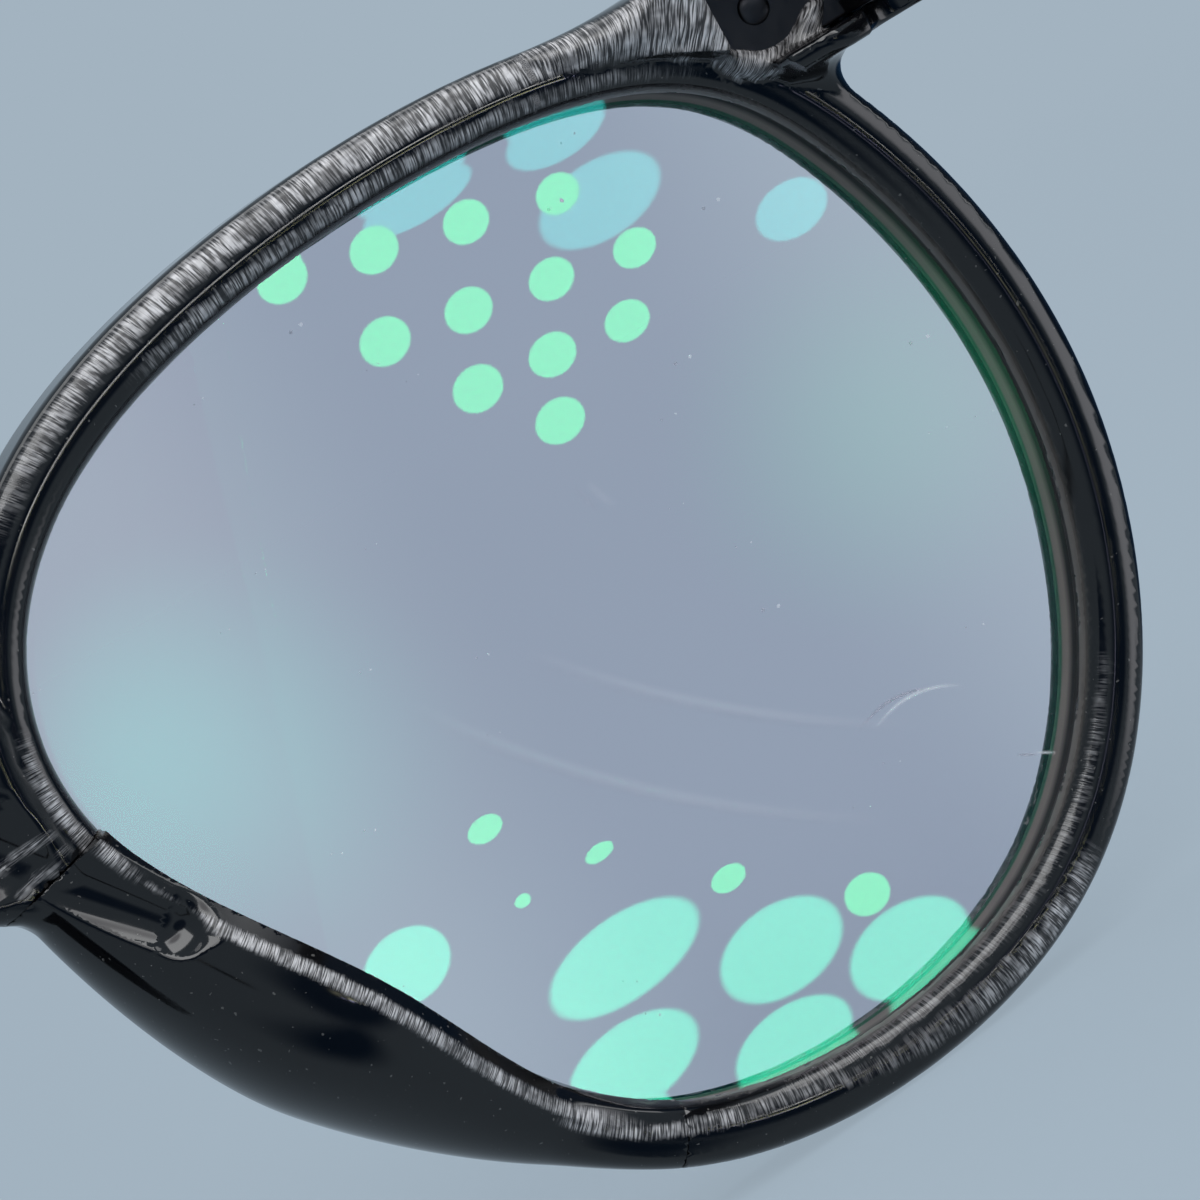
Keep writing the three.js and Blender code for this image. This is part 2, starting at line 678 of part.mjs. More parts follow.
// The glasses stand on a table: rims and temple tips share the lowest level, and the origin lies
// under the middle of the whole.
function lowest(name, angle) {
  const mesh = glasses.getObjectByName(name);
  const positions = mesh.geometry.getAttribute('position');
  const point = new THREE.Vector3();
  let level = Infinity;
  for (let i = 0; i < positions.count; i += 1) {
    mesh.localToWorld(point.fromBufferAttribute(positions, i));
    level = Math.min(level, point.y * Math.sin(angle) + point.z * Math.cos(angle));
  }
  return level;
}

glasses.updateMatrixWorld(true);
let [low, high] = [-TILT_LIMIT * RADIANS, TILT_LIMIT * RADIANS];
for (let i = 0; i < TILT_HALVINGS; i += 1) {
  const middle = (low + high) / 2;
  if (lowest('front_frame', middle) < lowest('temple_left', middle)) {
    high = middle;
  } else {
    low = middle;
  }
}
glasses.rotation.x = low;
glasses.updateMatrixWorld(true);
const span = new THREE.Box3().setFromObject(glasses, true);
glasses.position.set(0, -(span.min.y + span.max.y) / 2, -span.min.z);
glasses.updateMatrixWorld(true);

const model = new THREE.Group();
model.add(glasses);

export default model;
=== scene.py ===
import json
import math

import bmesh
import bpy
import numpy as np
from bpy.props import FloatProperty, FloatVectorProperty, PointerProperty
from mathutils import Matrix, Vector


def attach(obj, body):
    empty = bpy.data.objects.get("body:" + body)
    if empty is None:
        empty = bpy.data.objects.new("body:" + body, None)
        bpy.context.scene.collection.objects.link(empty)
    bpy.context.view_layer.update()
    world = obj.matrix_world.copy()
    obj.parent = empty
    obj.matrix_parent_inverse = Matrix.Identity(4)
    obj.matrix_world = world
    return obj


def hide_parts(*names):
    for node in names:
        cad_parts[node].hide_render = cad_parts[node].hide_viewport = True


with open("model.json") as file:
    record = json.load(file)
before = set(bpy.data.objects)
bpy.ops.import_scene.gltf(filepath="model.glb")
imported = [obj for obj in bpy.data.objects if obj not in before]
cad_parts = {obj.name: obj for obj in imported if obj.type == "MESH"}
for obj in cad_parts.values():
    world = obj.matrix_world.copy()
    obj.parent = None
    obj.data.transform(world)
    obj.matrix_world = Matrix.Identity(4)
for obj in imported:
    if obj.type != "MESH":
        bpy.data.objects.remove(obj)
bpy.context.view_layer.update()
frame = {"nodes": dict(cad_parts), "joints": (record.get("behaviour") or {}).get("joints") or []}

bl_info = {
    "name": "Round Eyeglasses",
    "version": (1, 0, 0),
    "blender": (4, 5, 0),
    "location": "3D View > Sidebar > Eyeglasses",
    "description": "Builds round plastic eyeglasses with coated lenses and temples on screw hinges",
    "category": "Add Mesh",
}

# Sizes of the glasses in millimetres and degrees. Places are worked out flat, sideways from the middle,
# back from the front face and up from the lens centres, and then bent to the face form.
MM = 0.001
SIDES = {"left": 1, "right": -1}
# Lenses: LENS_SET is how far back they sit, LENS_LIP how far the rim laps over them, and LENS_SEAT how far
# their faces stop short of their V edge.
LENS_WIDTH = 48
LENS_HEIGHT = 44.4
LENS_THICKNESS = 2
LENS_SET = 2
LENS_LIP = 0.5
LENS_SEAT = 0.3
BEVEL_HALF_WIDTH = 0.7
BASE_RADIUS = 132
FACE_FORM = 7
BRIDGE_GAP = 20
LENS_CENTRE = (LENS_WIDTH + BRIDGE_GAP) / 2
# Rims: how far they reach beside the lens edge, the two facets that lean off their crown, and the groove.
RIM_OUTER_LIP = 2.5
RIM_PERIMETER = 148
OUTER_LEAN = math.radians(27)
INNER_LEAN = math.radians(20)
FACET_BLEND = 0.7
GROOVE_DEPTH = 0.42
GROOVE_SLOPE = 0.7
# Hinges: HINGE_PART is the side beyond which they are let into the front, and BUTT_GAP the clearance before
# and behind the hinge axis where the temple meets the front.
HALF_WIDTH = 64.2
HINGE_SIDE = 59.2
HINGE_RISE = 20.4
HINGE_DEPTH = 6
HINGE_HALF_HEIGHT = 2.375
HINGE_INSET = 1.4
HINGE_PART = 45.5
BUTT_GAP = 0.15
FRONT_LEAF_LENGTH = 7.6
TEMPLE_LEAF_LENGTH = 9
LEAF_DEPTH = 1.75
LEAF_THICKNESS = 0.9
LEAF_BEVEL = 0.16
KNUCKLES = 5
KNUCKLE_RADIUS = 1.5
KNUCKLE_HEIGHT = 0.75
KNUCKLE_PITCH = 1.0
KNUCKLE_ROUND = 0.14
NECK_GAP = 0.15
NECK_BEVEL = 0.1
FRONT_RIVETS = (-5.6, -3.0)
TEMPLE_RIVETS = (3.9, 7.0)
RIVET_RADIUS = 0.75
SCREW_RADIUS = 0.65
SCREW_PLAY = 0.1
# Temples, and nose pads with their ends as shares of the way round the lens.
TEMPLE_LENGTH = 145
TEMPLE_BEND = 96
TEMPLE_DROP = 8
HOOK_ANGLE = 42
HOOK_RADIUS = 18
TEMPLE_OUTER = HALF_WIDTH - HINGE_SIDE
PAD_ENDS = (0.505, 0.737)
PAD_FRONT = 1.4
PAD_SEAT = 0.45
GLUE_GAP = 0.012

# The lens edge is a closed curve round these points, which are shares of half the lens width and height
# towards the temple and up.
LENS_SHAPE = np.array([
    [0.58, 1.055], [0.916, 0.655], [1.088, -0.138], [0.625, -1.062],
    [-0.45, -1.003], [-0.69, -0.3], [-1.12, 0.28], [-0.8, 0.97],
]) * [LENS_WIDTH / 2, LENS_HEIGHT / 2]
SPANS = len(LENS_SHAPE)


def eased(value):
    """Smooth step from 0 to 1."""
    share = np.clip(value, 0, 1)
    return share * share * (3 - 2 * share)


def sag(side, up):
    """How far the face form sets the flat layout back, beside and above the middle of the front."""
    nasal = LENS_WIDTH / 2
    lean = math.tan(math.radians(FACE_FORM))
    from_lens = np.maximum(np.abs(side) - LENS_CENTRE, -nasal)
    edge_slope = lean - nasal / BASE_RADIUS
    in_bridge = np.maximum(1 - np.abs(side) / (BRIDGE_GAP / 2), 0)
    ease = -edge_slope * BRIDGE_GAP / 2 * (in_bridge - in_bridge**2 / 2)
    return (from_lens**2 + up**2) / (2 * BASE_RADIUS) + lean * from_lens + ease


# The hinge axis of the frame says how the glasses stand: their tilt, and where their middle lies.
HINGE = np.array([HINGE_SIDE, HINGE_DEPTH + float(sag(HINGE_SIDE, HINGE_RISE)), HINGE_RISE])
FOLD = next(joint for joint in frame["joints"] if joint["name"] == "left_temple_fold")
TILT = math.atan2(-FOLD["axis"][1], FOLD["axis"][2])
STAND = np.array(Matrix.Rotation(TILT, 3, "X"))
MIDDLE = np.array(FOLD["pos_m"]) / MM - STAND @ HINGE


def standing(places):
    """Places on the glasses, in mm, as they stand on the table."""
    return places @ STAND.T + MIDDLE


# Lens edge

def edge_at(along):
    """Places on the lens edge with their first and second derivatives, at spans round it."""
    span = np.floor(along).astype(int)
    part = along - span
    points = LENS_SHAPE[(span[..., None] + np.arange(-1, 3)) % SPANS]
    square = part * part
    cube = square * part
    place = np.stack([(1 - part)**3, 3 * cube - 6 * square + 4, 1 + 3 * (part + square - cube), cube], -1) / 6
    run = np.stack([-(1 - part)**2, 3 * square - 4 * part, 1 + 2 * part - 3 * square, square], -1) / 2
    turn = np.stack([1 - part, 3 * part - 2, 1 - 3 * part, part], -1)
    return [np.einsum("...k,...kd->...d", weights, points) for weights in (place, run, turn)]


GUIDE_STEP = 0.5
GUIDE_REACH = 36
GUIDE_SPAN = 0.02
GUIDE_AXIS = np.arange(-GUIDE_REACH, GUIDE_REACH + GUIDE_STEP, GUIDE_STEP)
NEARING_ROUNDS = 3


def edge_guide():
    """Nearest span of the lens edge on a coarse grid round it."""
    spans = np.arange(0, SPANS, GUIDE_SPAN)
    place, _, _ = edge_at(spans)
    rows = []
    for side in GUIDE_AXIS:
        gap = (side - place[:, 0])**2 + (GUIDE_AXIS[:, None] - place[:, 1])**2
        rows.append(spans[gap.argmin(1)])
    return np.array(rows)


GUIDE = edge_guide()


def beside_lens(side, up):
    """Distance beside the lens edge, positive outside it, and the nearest span round it."""
    place = np.stack(np.broadcast_arrays(side - LENS_CENTRE, up), -1)
    cell = np.rint((place + GUIDE_REACH) / GUIDE_STEP).astype(int)
    cell = np.clip(cell, 0, len(GUIDE_AXIS) - 1)
    along = GUIDE[cell[..., 0], cell[..., 1]]
    for _ in range(NEARING_ROUNDS):
        point, run, turn = edge_at(along)
        away = place - point
        stretch = (run * run).sum(-1)
        bend = np.maximum(stretch - (away * turn).sum(-1), stretch / 4)
        along = along + (away * run).sum(-1) / bend
    point, run, _ = edge_at(along)
    away = place - point
    outward = away[..., 1] * run[..., 0] - away[..., 0] * run[..., 1]
    return outward / np.hypot(run[..., 0], run[..., 1]), along % SPANS


# Forms as distances: negative in the material, positive outside it

# A contoured mesh holds each corner near the middle of its crossings with some steadiness, and then draws it
# to the form. At a crease, normals are taken a share of the way into each face.
STEADINESS = 0.03
SETTLING_ROUNDS = 2
CREASE = math.radians(20)
NORMAL_INSET = 0.3
NORMAL_REACH = 0.01
LEAST = 1e-12


def soft_rise(value, reach):
    """The value above 0 and 0 below it, eased over a reach to both sides."""
    return np.where(np.abs(value) < reach, (value + reach)**2 / (4 * reach), np.maximum(value, 0))


def rounded_cut(first, second, radius):
    """Where both forms hold, with the edge between their faces rounded."""
    first = first + radius
    second = second + radius
    corner = np.hypot(np.maximum(first, 0), np.maximum(second, 0))
    return np.minimum(np.maximum(first, second), 0) + corner - radius


def filleted_join(first, second, radius):
    """Where either form holds, with the corner between their faces filled."""
    return -rounded_cut(-first, -second, radius)


def steepness(form, places, reach=0.02):
    """Unit normals of a form at places, from its values close by."""
    slopes = []
    for axis in range(3):
        offset = np.zeros(3)
        offset[axis] = reach
        slopes.append(form(*(places + offset).T) - form(*(places - offset).T))
    slopes = np.stack(slopes, -1)
    return slopes / np.maximum(np.linalg.norm(slopes, axis=1, keepdims=True), LEAST)


def contoured(form, low, high, step):
    """Closed mesh of four-sided faces round a form, with a corner placed on each crease it meets."""
    axes = [np.arange(a, b + step, step) for a, b in zip(low, high)]
    origin = np.array(low, float)
    values = form(axes[0][:, None, None], axes[1][None, :, None], axes[2][None, None, :])
    counts = np.array(values.shape)
    strides = np.array([counts[1] * counts[2], counts[2], 1])
    flat = values.ravel()
    crossings, rings = [], []
    for axis in range(3):
        ahead = [slice(None)] * 3
        behind = [slice(None)] * 3
        ahead[axis] = slice(1, None)
        behind[axis] = slice(None, -1)
        crossed = np.argwhere((values[tuple(behind)] < 0) != (values[tuple(ahead)] < 0))
        start = flat[crossed @ strides]
        end = flat[crossed @ strides + strides[axis]]
        place = crossed.astype(float)
        place[:, axis] += start / (start - end)
        crossings.append(origin + place * step)
        second, third = (axis + 1) % 3, (axis + 2) % 3
        around = np.stack([[0, 0], [-1, 0], [-1, -1], [0, -1]])
        ring = (crossed @ strides)[:, None] + around @ strides[[second, third]]
        rings.append(np.where((start < 0)[:, None], ring, ring[:, ::-1]))
    crossings = np.concatenate(crossings)
    rings = np.concatenate(rings)
    normals = steepness(form, crossings)
    cells, corner = np.unique(rings, return_inverse=True)
    corner = corner.reshape(rings.shape)
    return settled(form, origin, step, counts, cells, corner, crossings, normals), corner


def settled(form, origin, step, counts, cells, corner, crossings, normals):
    """Corners of a contoured mesh, each where the planes of the crossings round its cell meet."""
    count = len(cells)
    flat = corner.ravel()
    each = np.repeat(np.arange(len(crossings)), 4)

    def gathered(data):
        return np.bincount(flat, data[each], count)

    share = gathered(np.ones(len(crossings)))
    centre = np.stack([gathered(crossings[:, axis]) for axis in range(3)], -1) / share[:, None]
    offset = (normals * crossings).sum(1)
    squares = np.empty((count, 3, 3))
    pull = np.empty((count, 3))
    for row in range(3):
        pull[:, row] = gathered(normals[:, row] * offset)
        for column in range(3):
            squares[:, row, column] = gathered(normals[:, row] * normals[:, column])
    pull -= np.einsum("nij,nj->ni", squares, centre)
    steady = STEADINESS * share[:, None, None] * np.eye(3)
    places = centre + np.linalg.solve(squares + steady, pull[..., None])[..., 0]
    index = np.stack(np.unravel_index(cells, counts), -1)
    low = origin + index * step
    places = np.clip(places, low, low + step)
    most = step / 4
    for _ in range(SETTLING_ROUNDS):
        lift = np.clip(form(*places.T), -most, most)
        places = places - steepness(form, places) * lift[:, None]
    return places


def corner_normals(form, places, faces):
    """Normals for each face corner: the form's own, or at a crease those a little way in from the corner."""
    ring = places[faces]
    inset = ring + NORMAL_INSET * (ring.mean(1, keepdims=True) - ring)
    inside = steepness(form, inset.reshape(-1, 3), NORMAL_REACH)
    own = steepness(form, places, NORMAL_REACH)[faces].reshape(-1, 3)
    creased = (inside * own).sum(1) < math.cos(CREASE)
    return np.where(creased[:, None], inside, own)


def leaf_slope():
    """How far the endpiece's back leans where the front leaf lies."""
    run = sag(HINGE_SIDE, HINGE_RISE) - sag(HINGE_SIDE - FRONT_LEAF_LENGTH, HINGE_RISE)
    return math.atan(run / FRONT_LEAF_LENGTH)


def on_leaf(x, y):
    """Distances along the front leaf and behind it, about the hinge axis."""
    slope = leaf_slope()
    return x * math.cos(slope) + y * math.sin(slope), y * math.cos(slope) - x * math.sin(slope)


class FrontForm:
    """The front: two rims with lens grooves, the bridge and the endpieces with their hinge pockets.

    It holds the sizes of the front under their own names, in mm.
    """

    def __init__(self, sizes):
        for name in sizes.__annotations__:
            setattr(self, name, getattr(sizes, name) / MM)
        self.pad = PadForm(self)

    def rim(self, beside, depth):
        """Bar whose back was filed to an outer and an inner facet, with a narrow crown between them."""
        middle = self.rim_width / 2 - LENS_LIP
        across = np.abs(beside - middle) - self.rim_width / 2
        outer = soft_rise(beside - self.rim_width + LENS_LIP + self.outer_facet, FACET_BLEND)
        inner = soft_rise(self.inner_facet - LENS_LIP - beside, FACET_BLEND)
        fall = math.tan(OUTER_LEAN) * outer + math.tan(INNER_LEAN) * inner
        back = (depth - self.rim_depth + fall) * math.cos(INNER_LEAN)
        at_front = np.where(beside > middle, self.front_round, self.edge_round)
        radius = np.where(depth > self.rim_depth / 2, self.edge_round, at_front)
        return rounded_cut(across, np.maximum(-depth, back), radius)

    def groove(self, beside, depth):
        """V groove that holds the lens by its edge."""
        away = np.abs(depth - LENS_SET)
        return (beside - GROOVE_DEPTH + GROOVE_SLOPE * away) / math.hypot(1, GROOVE_SLOPE)

    def bridge(self, side, depth, up):
        """Half of the bridge, between its bowed top and its arch."""
        top_end, top_side = 12.2, 11.6
        under_end, under_side = 0.6, 9.6
        inset, rounding = 0.4, 1.1
        top = self.bridge_top + (top_end - self.bridge_top) * (side / top_side)**2
        under = self.bridge_under + (under_end - self.bridge_under) * (side / under_side)**2
        lean = 2 * (self.bridge_under - under_end) * side / under_side**2
        between = np.maximum(up - top, (under - up) / np.sqrt(1 + lean**2))
        through = np.abs(depth - self.rim_depth / 2) - self.rim_depth / 2 + inset
        return np.maximum(rounded_cut(between, through, rounding), side - LENS_CENTRE / 2)

    def endpiece(self, side, depth, up):
        """Bar from the rim to the hinge, which starts with a low neck and deepens towards the temple."""
        over, under, slant = 3, 3.6, 0.075
        neck_start, neck_run, neck_drop = 43, 10, 2.5
        ramp_start, ramp_run, ramp_low, ramp_rise, ramp_share = 45, 16, 4.0, 5.0, 0.9
        rim_side, face_set = 46, 0.4
        outer_round, back_round, edge_round = 2.0, 0.6, 0.9
        neck = neck_drop * (1 - eased((side - neck_start) / neck_run))
        top = HINGE_RISE + over + slant * (HINGE_SIDE - side) - neck
        face = np.maximum(up - top, HINGE_RISE - under - up)
        ramp = ramp_low + ramp_rise * eased((side - ramp_start) / ramp_run)
        plan = rounded_cut(side - HALF_WIDTH, face_set - depth, outer_round)
        plan = rounded_cut(plan, (depth - ramp) * ramp_share, back_round)
        return np.maximum(rounded_cut(plan, face, edge_round), rim_side - side)

    def hinge_room(self, along, back, x, y, z):
        """Pocket of the front leaf and the room round the knuckles and the screw head."""
        fit, corner, knuckle_room, head_room = 0.12, 0.4, 0.3, 1.3
        middle = (KNUCKLE_RADIUS - FRONT_LEAF_LENGTH) / 2
        reach = (KNUCKLE_RADIUS + FRONT_LEAF_LENGTH) / 2 + fit
        half = HINGE_HALF_HEIGHT + fit
        pocket = rounded_cut(np.abs(along - middle) - reach, np.abs(z) - half, corner)
        pocket = np.maximum(pocket, -back - LEAF_DEPTH - LEAF_THICKNESS - fit)
        barrel = np.hypot(x, y) - KNUCKLE_RADIUS - knuckle_room
        return np.minimum(pocket, np.maximum(barrel, np.abs(z) - HINGE_HALF_HEIGHT - head_room))

    def hinge_lip(self, along, back, z):
        """Bead of plastic that was pressed up over the lower edge of the front leaf."""
        middle, height, radius, bead = -5.5, 0.1, 2.6, 0.6
        cut, cut_round = -1, 0.5
        ring = np.hypot(along - middle, z - height) - radius
        return rounded_cut(np.hypot(ring, back + LEAF_DEPTH) - bead, z - cut, cut_round)

    def hinge_cut(self, body, x, y, z):
        """The endpiece's back with the hinge let in."""
        half, cut_round, lip_fillet = 6, 0.3, 0.4
        along, back = on_leaf(x, y)
        butt = np.maximum(np.maximum(-BUTT_GAP - y, -FRONT_LEAF_LENGTH - x), np.abs(z) - half)
        body = rounded_cut(body, -butt, cut_round)
        body = rounded_cut(body, -self.hinge_room(along, back, x, y, z), cut_round)
        return filleted_join(body, self.hinge_lip(along, back, z), lip_fillet)

    def scoop(self, side, depth, up):
        """Dish over the pad that widens towards the bridge, as a round cutter leaves it."""
        start_side, start_depth, start_up = 23.8, 5.9, 0.9
        end_side, end_depth, end_up = 28.4, 3.2, 7.2
        start = np.array([LENS_CENTRE - start_side, start_depth + self.scoop_radius, start_up])
        end = np.array([LENS_CENTRE - end_side, end_depth + self.scoop_end, end_up])
        run = end - start
        offset = [side - start[0], depth - start[1], up - start[2]]
        share = np.clip(sum(o * r for o, r in zip(offset, run)) / (run @ run), 0, 1)
        gap = sum((o - share * r)**2 for o, r in zip(offset, run))
        return np.sqrt(gap) - self.scoop_radius - share * (self.scoop_end - self.scoop_radius)

    def bare(self, side, depth, up, beside):
        """The front before the seats of its nose pads are cut."""
        clear, fillet_start, fillet_run, least_fillet = 0.8, 0.3, 1.7, 0.01
        bridge_fillet, endpiece_fillet, dish_round = 1.4, 2.2, 0.15
        reach = eased((beside - fillet_start) / fillet_run)
        bridge = np.maximum(self.bridge(side, depth, up), clear - beside)
        body = filleted_join(self.rim(beside, depth), bridge, bridge_fillet * reach + least_fillet)
        endpiece = np.maximum(self.endpiece(side, depth, up), clear - beside)
        body = filleted_join(body, endpiece, endpiece_fillet * reach + least_fillet)
        body = np.maximum(body, -self.groove(beside, depth))
        local = [side - HINGE[0], depth + sag(side, up) - HINGE[1], up - HINGE[2]]
        body = np.where(side > HINGE_PART, self.hinge_cut(body, *local), body)
        return rounded_cut(body, -self.scoop(side, depth, up), dish_round)

    def whole(self, x, y, z):
        """The front with the seats of its nose pads."""
        side = np.abs(x)
        beside, along = beside_lens(side, z)
        depth = y - sag(side, z)
        bare = self.bare(side, depth, z, beside)
        return np.maximum(bare, GLUE_GAP - self.pad.solid(side, depth, z, beside, along, bare))


class PadForm:
    """A nose pad: a swelling bar let into the rim's inner back corner, with a crest and a rounded face."""

    def __init__(self, front):
        self.front = front
        self.start, self.end = (share * SPANS for share in PAD_ENDS)

    def faces(self, depth, beside, along):
        """Distances to the rounded contact face and to the wall beside the lens, which meet at the crest."""
        peak, lead, climb = 0.58, 0.02, 0.56
        fall, fall_run, sunk = 0.75, 0.55, 0.12
        spread_run, narrowing, narrowing_run, tucked = 0.6, 0.45, 0.45, 0.1
        ridge, middle, wall, wall_slope = 0.6, 2.4, 0.38, 0.58
        share = (along - self.start) / (self.end - self.start)
        past = share - peak
        rise = np.where(past < 0, eased((share - lead) / climb), 1 - fall * eased(past / fall_run))
        spread = eased((share + lead) / spread_run) * (1 - narrowing * eased(past / narrowing_run))
        crest = self.front.rim_depth + self.front.pad_height * ((1 + sunk) * rise - sunk)
        outer = RIM_OUTER_LIP + self.front.pad_flare * ((1 + tucked) * spread - tucked)
        across = (beside - ridge) / (outer - ridge)
        through = (depth - middle) / (crest - middle)
        reach = np.hypot(across, through)
        steep = np.hypot(across / (outer - ridge), through / (crest - middle))
        face = reach * (reach - 1) / np.maximum(steep, LEAST)
        slope = (depth - crest + wall_slope * (ridge - beside)) / math.hypot(1, wall_slope)
        return face, np.maximum(-wall - beside, slope)

    def solid(self, side, depth, up, beside, along, bare):
        """The pad with its crest, the dish cut into it, its fillet to the rim and its sloped seat."""
        crest_round, front_round, fillet = 0.18, 0.8, 0.5
        dish_round, dish_sharper, dish_start, dish_run = 0.5, 0.38, 1, 0.8
        seat_depth, seat_slope, seat_length, end_length = 3.4, 0.667, 1.2, 18
        face, inner = self.faces(depth, beside, along)
        swell = rounded_cut(face, inner, crest_round)
        swell = rounded_cut(swell, PAD_FRONT - depth, front_round)
        ridge = dish_round - dish_sharper * eased((beside - dish_start) / dish_run)
        swell = rounded_cut(swell, -self.front.scoop(side, depth, up), ridge)
        skin = filleted_join(swell, bare, fillet)
        seat = (seat_depth - (beside + LENS_LIP) * seat_slope - depth) / seat_length
        ends = np.maximum(self.start - along, along - self.end) * end_length
        return np.maximum(np.maximum(skin, -PAD_SEAT - bare), np.maximum(seat, ends))

    def whole(self, x, y, z):
        """The left pad."""
        beside, along = beside_lens(x, z)
        depth = y - sag(x, z)
        bare = self.front.bare(x, depth, z, beside)
        return self.solid(x, depth, z, beside, along, bare)


# Pieces

def linked(name, data):
    """Object in the scene for a mesh, a lamp or a camera."""
    thing = bpy.data.objects.new(name, data)
    bpy.context.scene.collection.objects.link(thing)
    return thing


def add_values(mesh, values):
    """Stores a number or a vector for each point of a mesh, under its name."""
    for label, data in values.items():
        data = np.asarray(data, np.float32)
        kind, field = ("FLOAT_VECTOR", "vector") if data.ndim == 2 else ("FLOAT", "value")
        mesh.attributes.new(label, kind, "POINT").data.foreach_set(field, data.ravel())


def add_piece(name, places, faces, material, values, normals=None):
    """Mesh piece from places in mm on the glasses, with values for its points and normals for its corners."""
    mesh = bpy.data.meshes.new(name)
    mesh.from_pydata((standing(places) * MM).tolist(), [], [tuple(face) for face in faces])
    mesh.materials.append(material)
    mesh.shade_smooth()
    add_values(mesh, values)
    if normals is not None:
        mesh.normals_split_custom_set((normals @ STAND.T).tolist())
    return linked(name, mesh)


def fitted(piece, body, slot, *nodes):
    """Ties a piece to its body and hides the solids that it stands for; its finish slot is not used."""
    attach(piece, body)
    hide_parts(*nodes)


def mirrored(places, faces, normals, sign):
    """Left or right copy of a mesh."""
    if sign > 0:
        return places, faces, normals
    flip = np.array([-1, 1, 1])
    corners = normals.reshape(len(faces), -1, 3)[:, ::-1] * flip
    return places * flip, faces[:, ::-1], corners.reshape(-1, 3)


# Filed bands on the rim's back: share of the way round the lens, where the band starts and ends beside the
# lens edge in mm, and how strongly the file marked it. Their pale marks are partly painted highlight, and the
# strengths follow where the edges catch the light.
OUTER_FILING = (
    (0, 1.05, 2.3, 1), (0.03, 0.9, 6, 1), (0.0475, 0.6, 6, 1), (0.07, 1.1, 6, 1), (0.08, 1.1, 6, 0),
    (0.365, 1.0, 2.05, 0), (0.38, 1.0, 2.05, 1), (0.4, 0.9, 2.0, 0.9), (0.42, 0.7, 1.8, 0.4),
    (0.4528, 0.4, 1.1, 0.25), (0.465, 0, 0.55, 0.4), (0.495, 0.2, 0.8, 0.7), (0.517, 0.6, 1.15, 0.9),
    (0.5436, 1.0, 1.3, 0.8), (0.55, 1.0, 1.3, 0), (0.84, 1.4, 2.2, 0), (0.875, 1.4, 2.2, 0.7),
    (0.91, 1.35, 2.25, 1), (0.95, 1.15, 2.3, 1), (1, 1.05, 2.3, 1),
)
INNER_FILING = (
    (0, -0.08, 0.42, 0.6), (0.03, -0.05, 0.4, 0.3), (0.06, 0, 0.35, 0), (0.25, 0, 0.35, 0),
    (0.27, 0, 0.35, 0.35), (0.3, 0, 0.4, 0.25), (0.315, 0, 0.3, 0.1), (0.3275, -0.1, 0.25, 0.3),
    (0.356, -0.15, 0.25, 0.3), (0.385, -0.3, 0.2, 0.15), (0.42, -0.4, 0.1, 0.3), (0.46, -0.3, 0.1, 0.3),
    (0.475, -0.2, 0.1, 0), (0.715, 0.2, 0.65, 0), (0.73, 0.1, 0.7, 0.9), (0.768, 0.3, 0.75, 0.8),
    (0.785, 0.3, 0.7, 0), (0.89, -0.08, 0.45, 0), (0.91, -0.08, 0.45, 0.8), (0.96, -0.08, 0.45, 0.9),
    (1, -0.08, 0.42, 0.6),
)
FILING_SOFT = 0.2
# Cutter's ridges across the dish, marked pale as a partly painted highlight, and the stretch of the pad, as
# shares of the way round the lens
DISH_RIDGES = (0.741, 0.7495)
DISH_RIDGE = 0.0006
PAD_SHARES = (0.5, 0.735)
PAD_SOFT = 0.02
# How far out the endpiece is filed
MARKED_SIDE = 53.5
MARKED_SOFT = 0.8


def band(value, low, high, soft):
    """1 between two limits, eased to 0 outside them."""
    return eased((value - low) / soft + 0.5) * (1 - eased((value - high) / soft + 0.5))


def surface_values(front, form, places):
    """Finish at each point: file marks, partly painted highlight, the milled inner wall, and the run along
    and across the edge.
    """
    soft, facing_back = 0.3, 0.3
    wall_beside, wall_facing, wall_depth = 0.1, 0.55, 2.8
    dish_low, dish_high, dish_soft, dish_mark_and_glint = 1.2, 4, 0.4, 0.9
    lip_reach, lip_mark_and_glint = 0.15, 0.7
    side = np.abs(places[:, 0])
    backward = steepness(form, places)[:, 1]
    beside, along = beside_lens(side, places[:, 2])
    depth = places[:, 1] - sag(side, places[:, 2])
    share = along / SPANS
    marks = np.zeros(len(places))
    for filing in (OUTER_FILING, INNER_FILING):
        shares, lows, highs, strengths = zip(*filing)
        low, high, strength = (np.interp(share, shares, column) for column in (lows, highs, strengths))
        marks = np.maximum(marks, strength * band(beside, low, high, FILING_SOFT))
    marks = marks * eased((backward - facing_back) / soft)
    marks = marks * (1 - eased((side - MARKED_SIDE) / MARKED_SOFT))
    dish = dish_mark_and_glint * band(beside, dish_low, dish_high, dish_soft)
    for ridge in DISH_RIDGES:
        across = band(share, ridge - DISH_RIDGE, ridge + DISH_RIDGE, 3 * DISH_RIDGE)
        marks = np.maximum(marks, dish * across)
    # The bead round the hinge pocket is marked pale as well, partly a painted highlight along it.
    x, y, z = np.stack([side, places[:, 1], places[:, 2]]) - HINGE[:, None]
    marks = np.maximum(marks, lip_mark_and_glint * (front.hinge_lip(*on_leaf(x, y), z) < lip_reach))
    wall = eased((wall_beside - beside) / soft) * eased((wall_facing - np.abs(backward)) / soft)
    wall = wall * eased((depth - wall_depth) / soft) * (1 - band(share, *PAD_SHARES, PAD_SOFT))
    return {"filed": marks, "milled": wall, "grain": np.stack([share * RIM_PERIMETER, beside, depth], -1)}


# Materials

def linear(code):
    """Linear colour of an sRGB hex code."""
    channels = [int(code[at:at + 2], 16) / 255 for at in (1, 3, 5)]
    return [c / 12.92 if c <= 0.04045 else ((c + 0.055) / 1.055)**2.4 for c in channels]


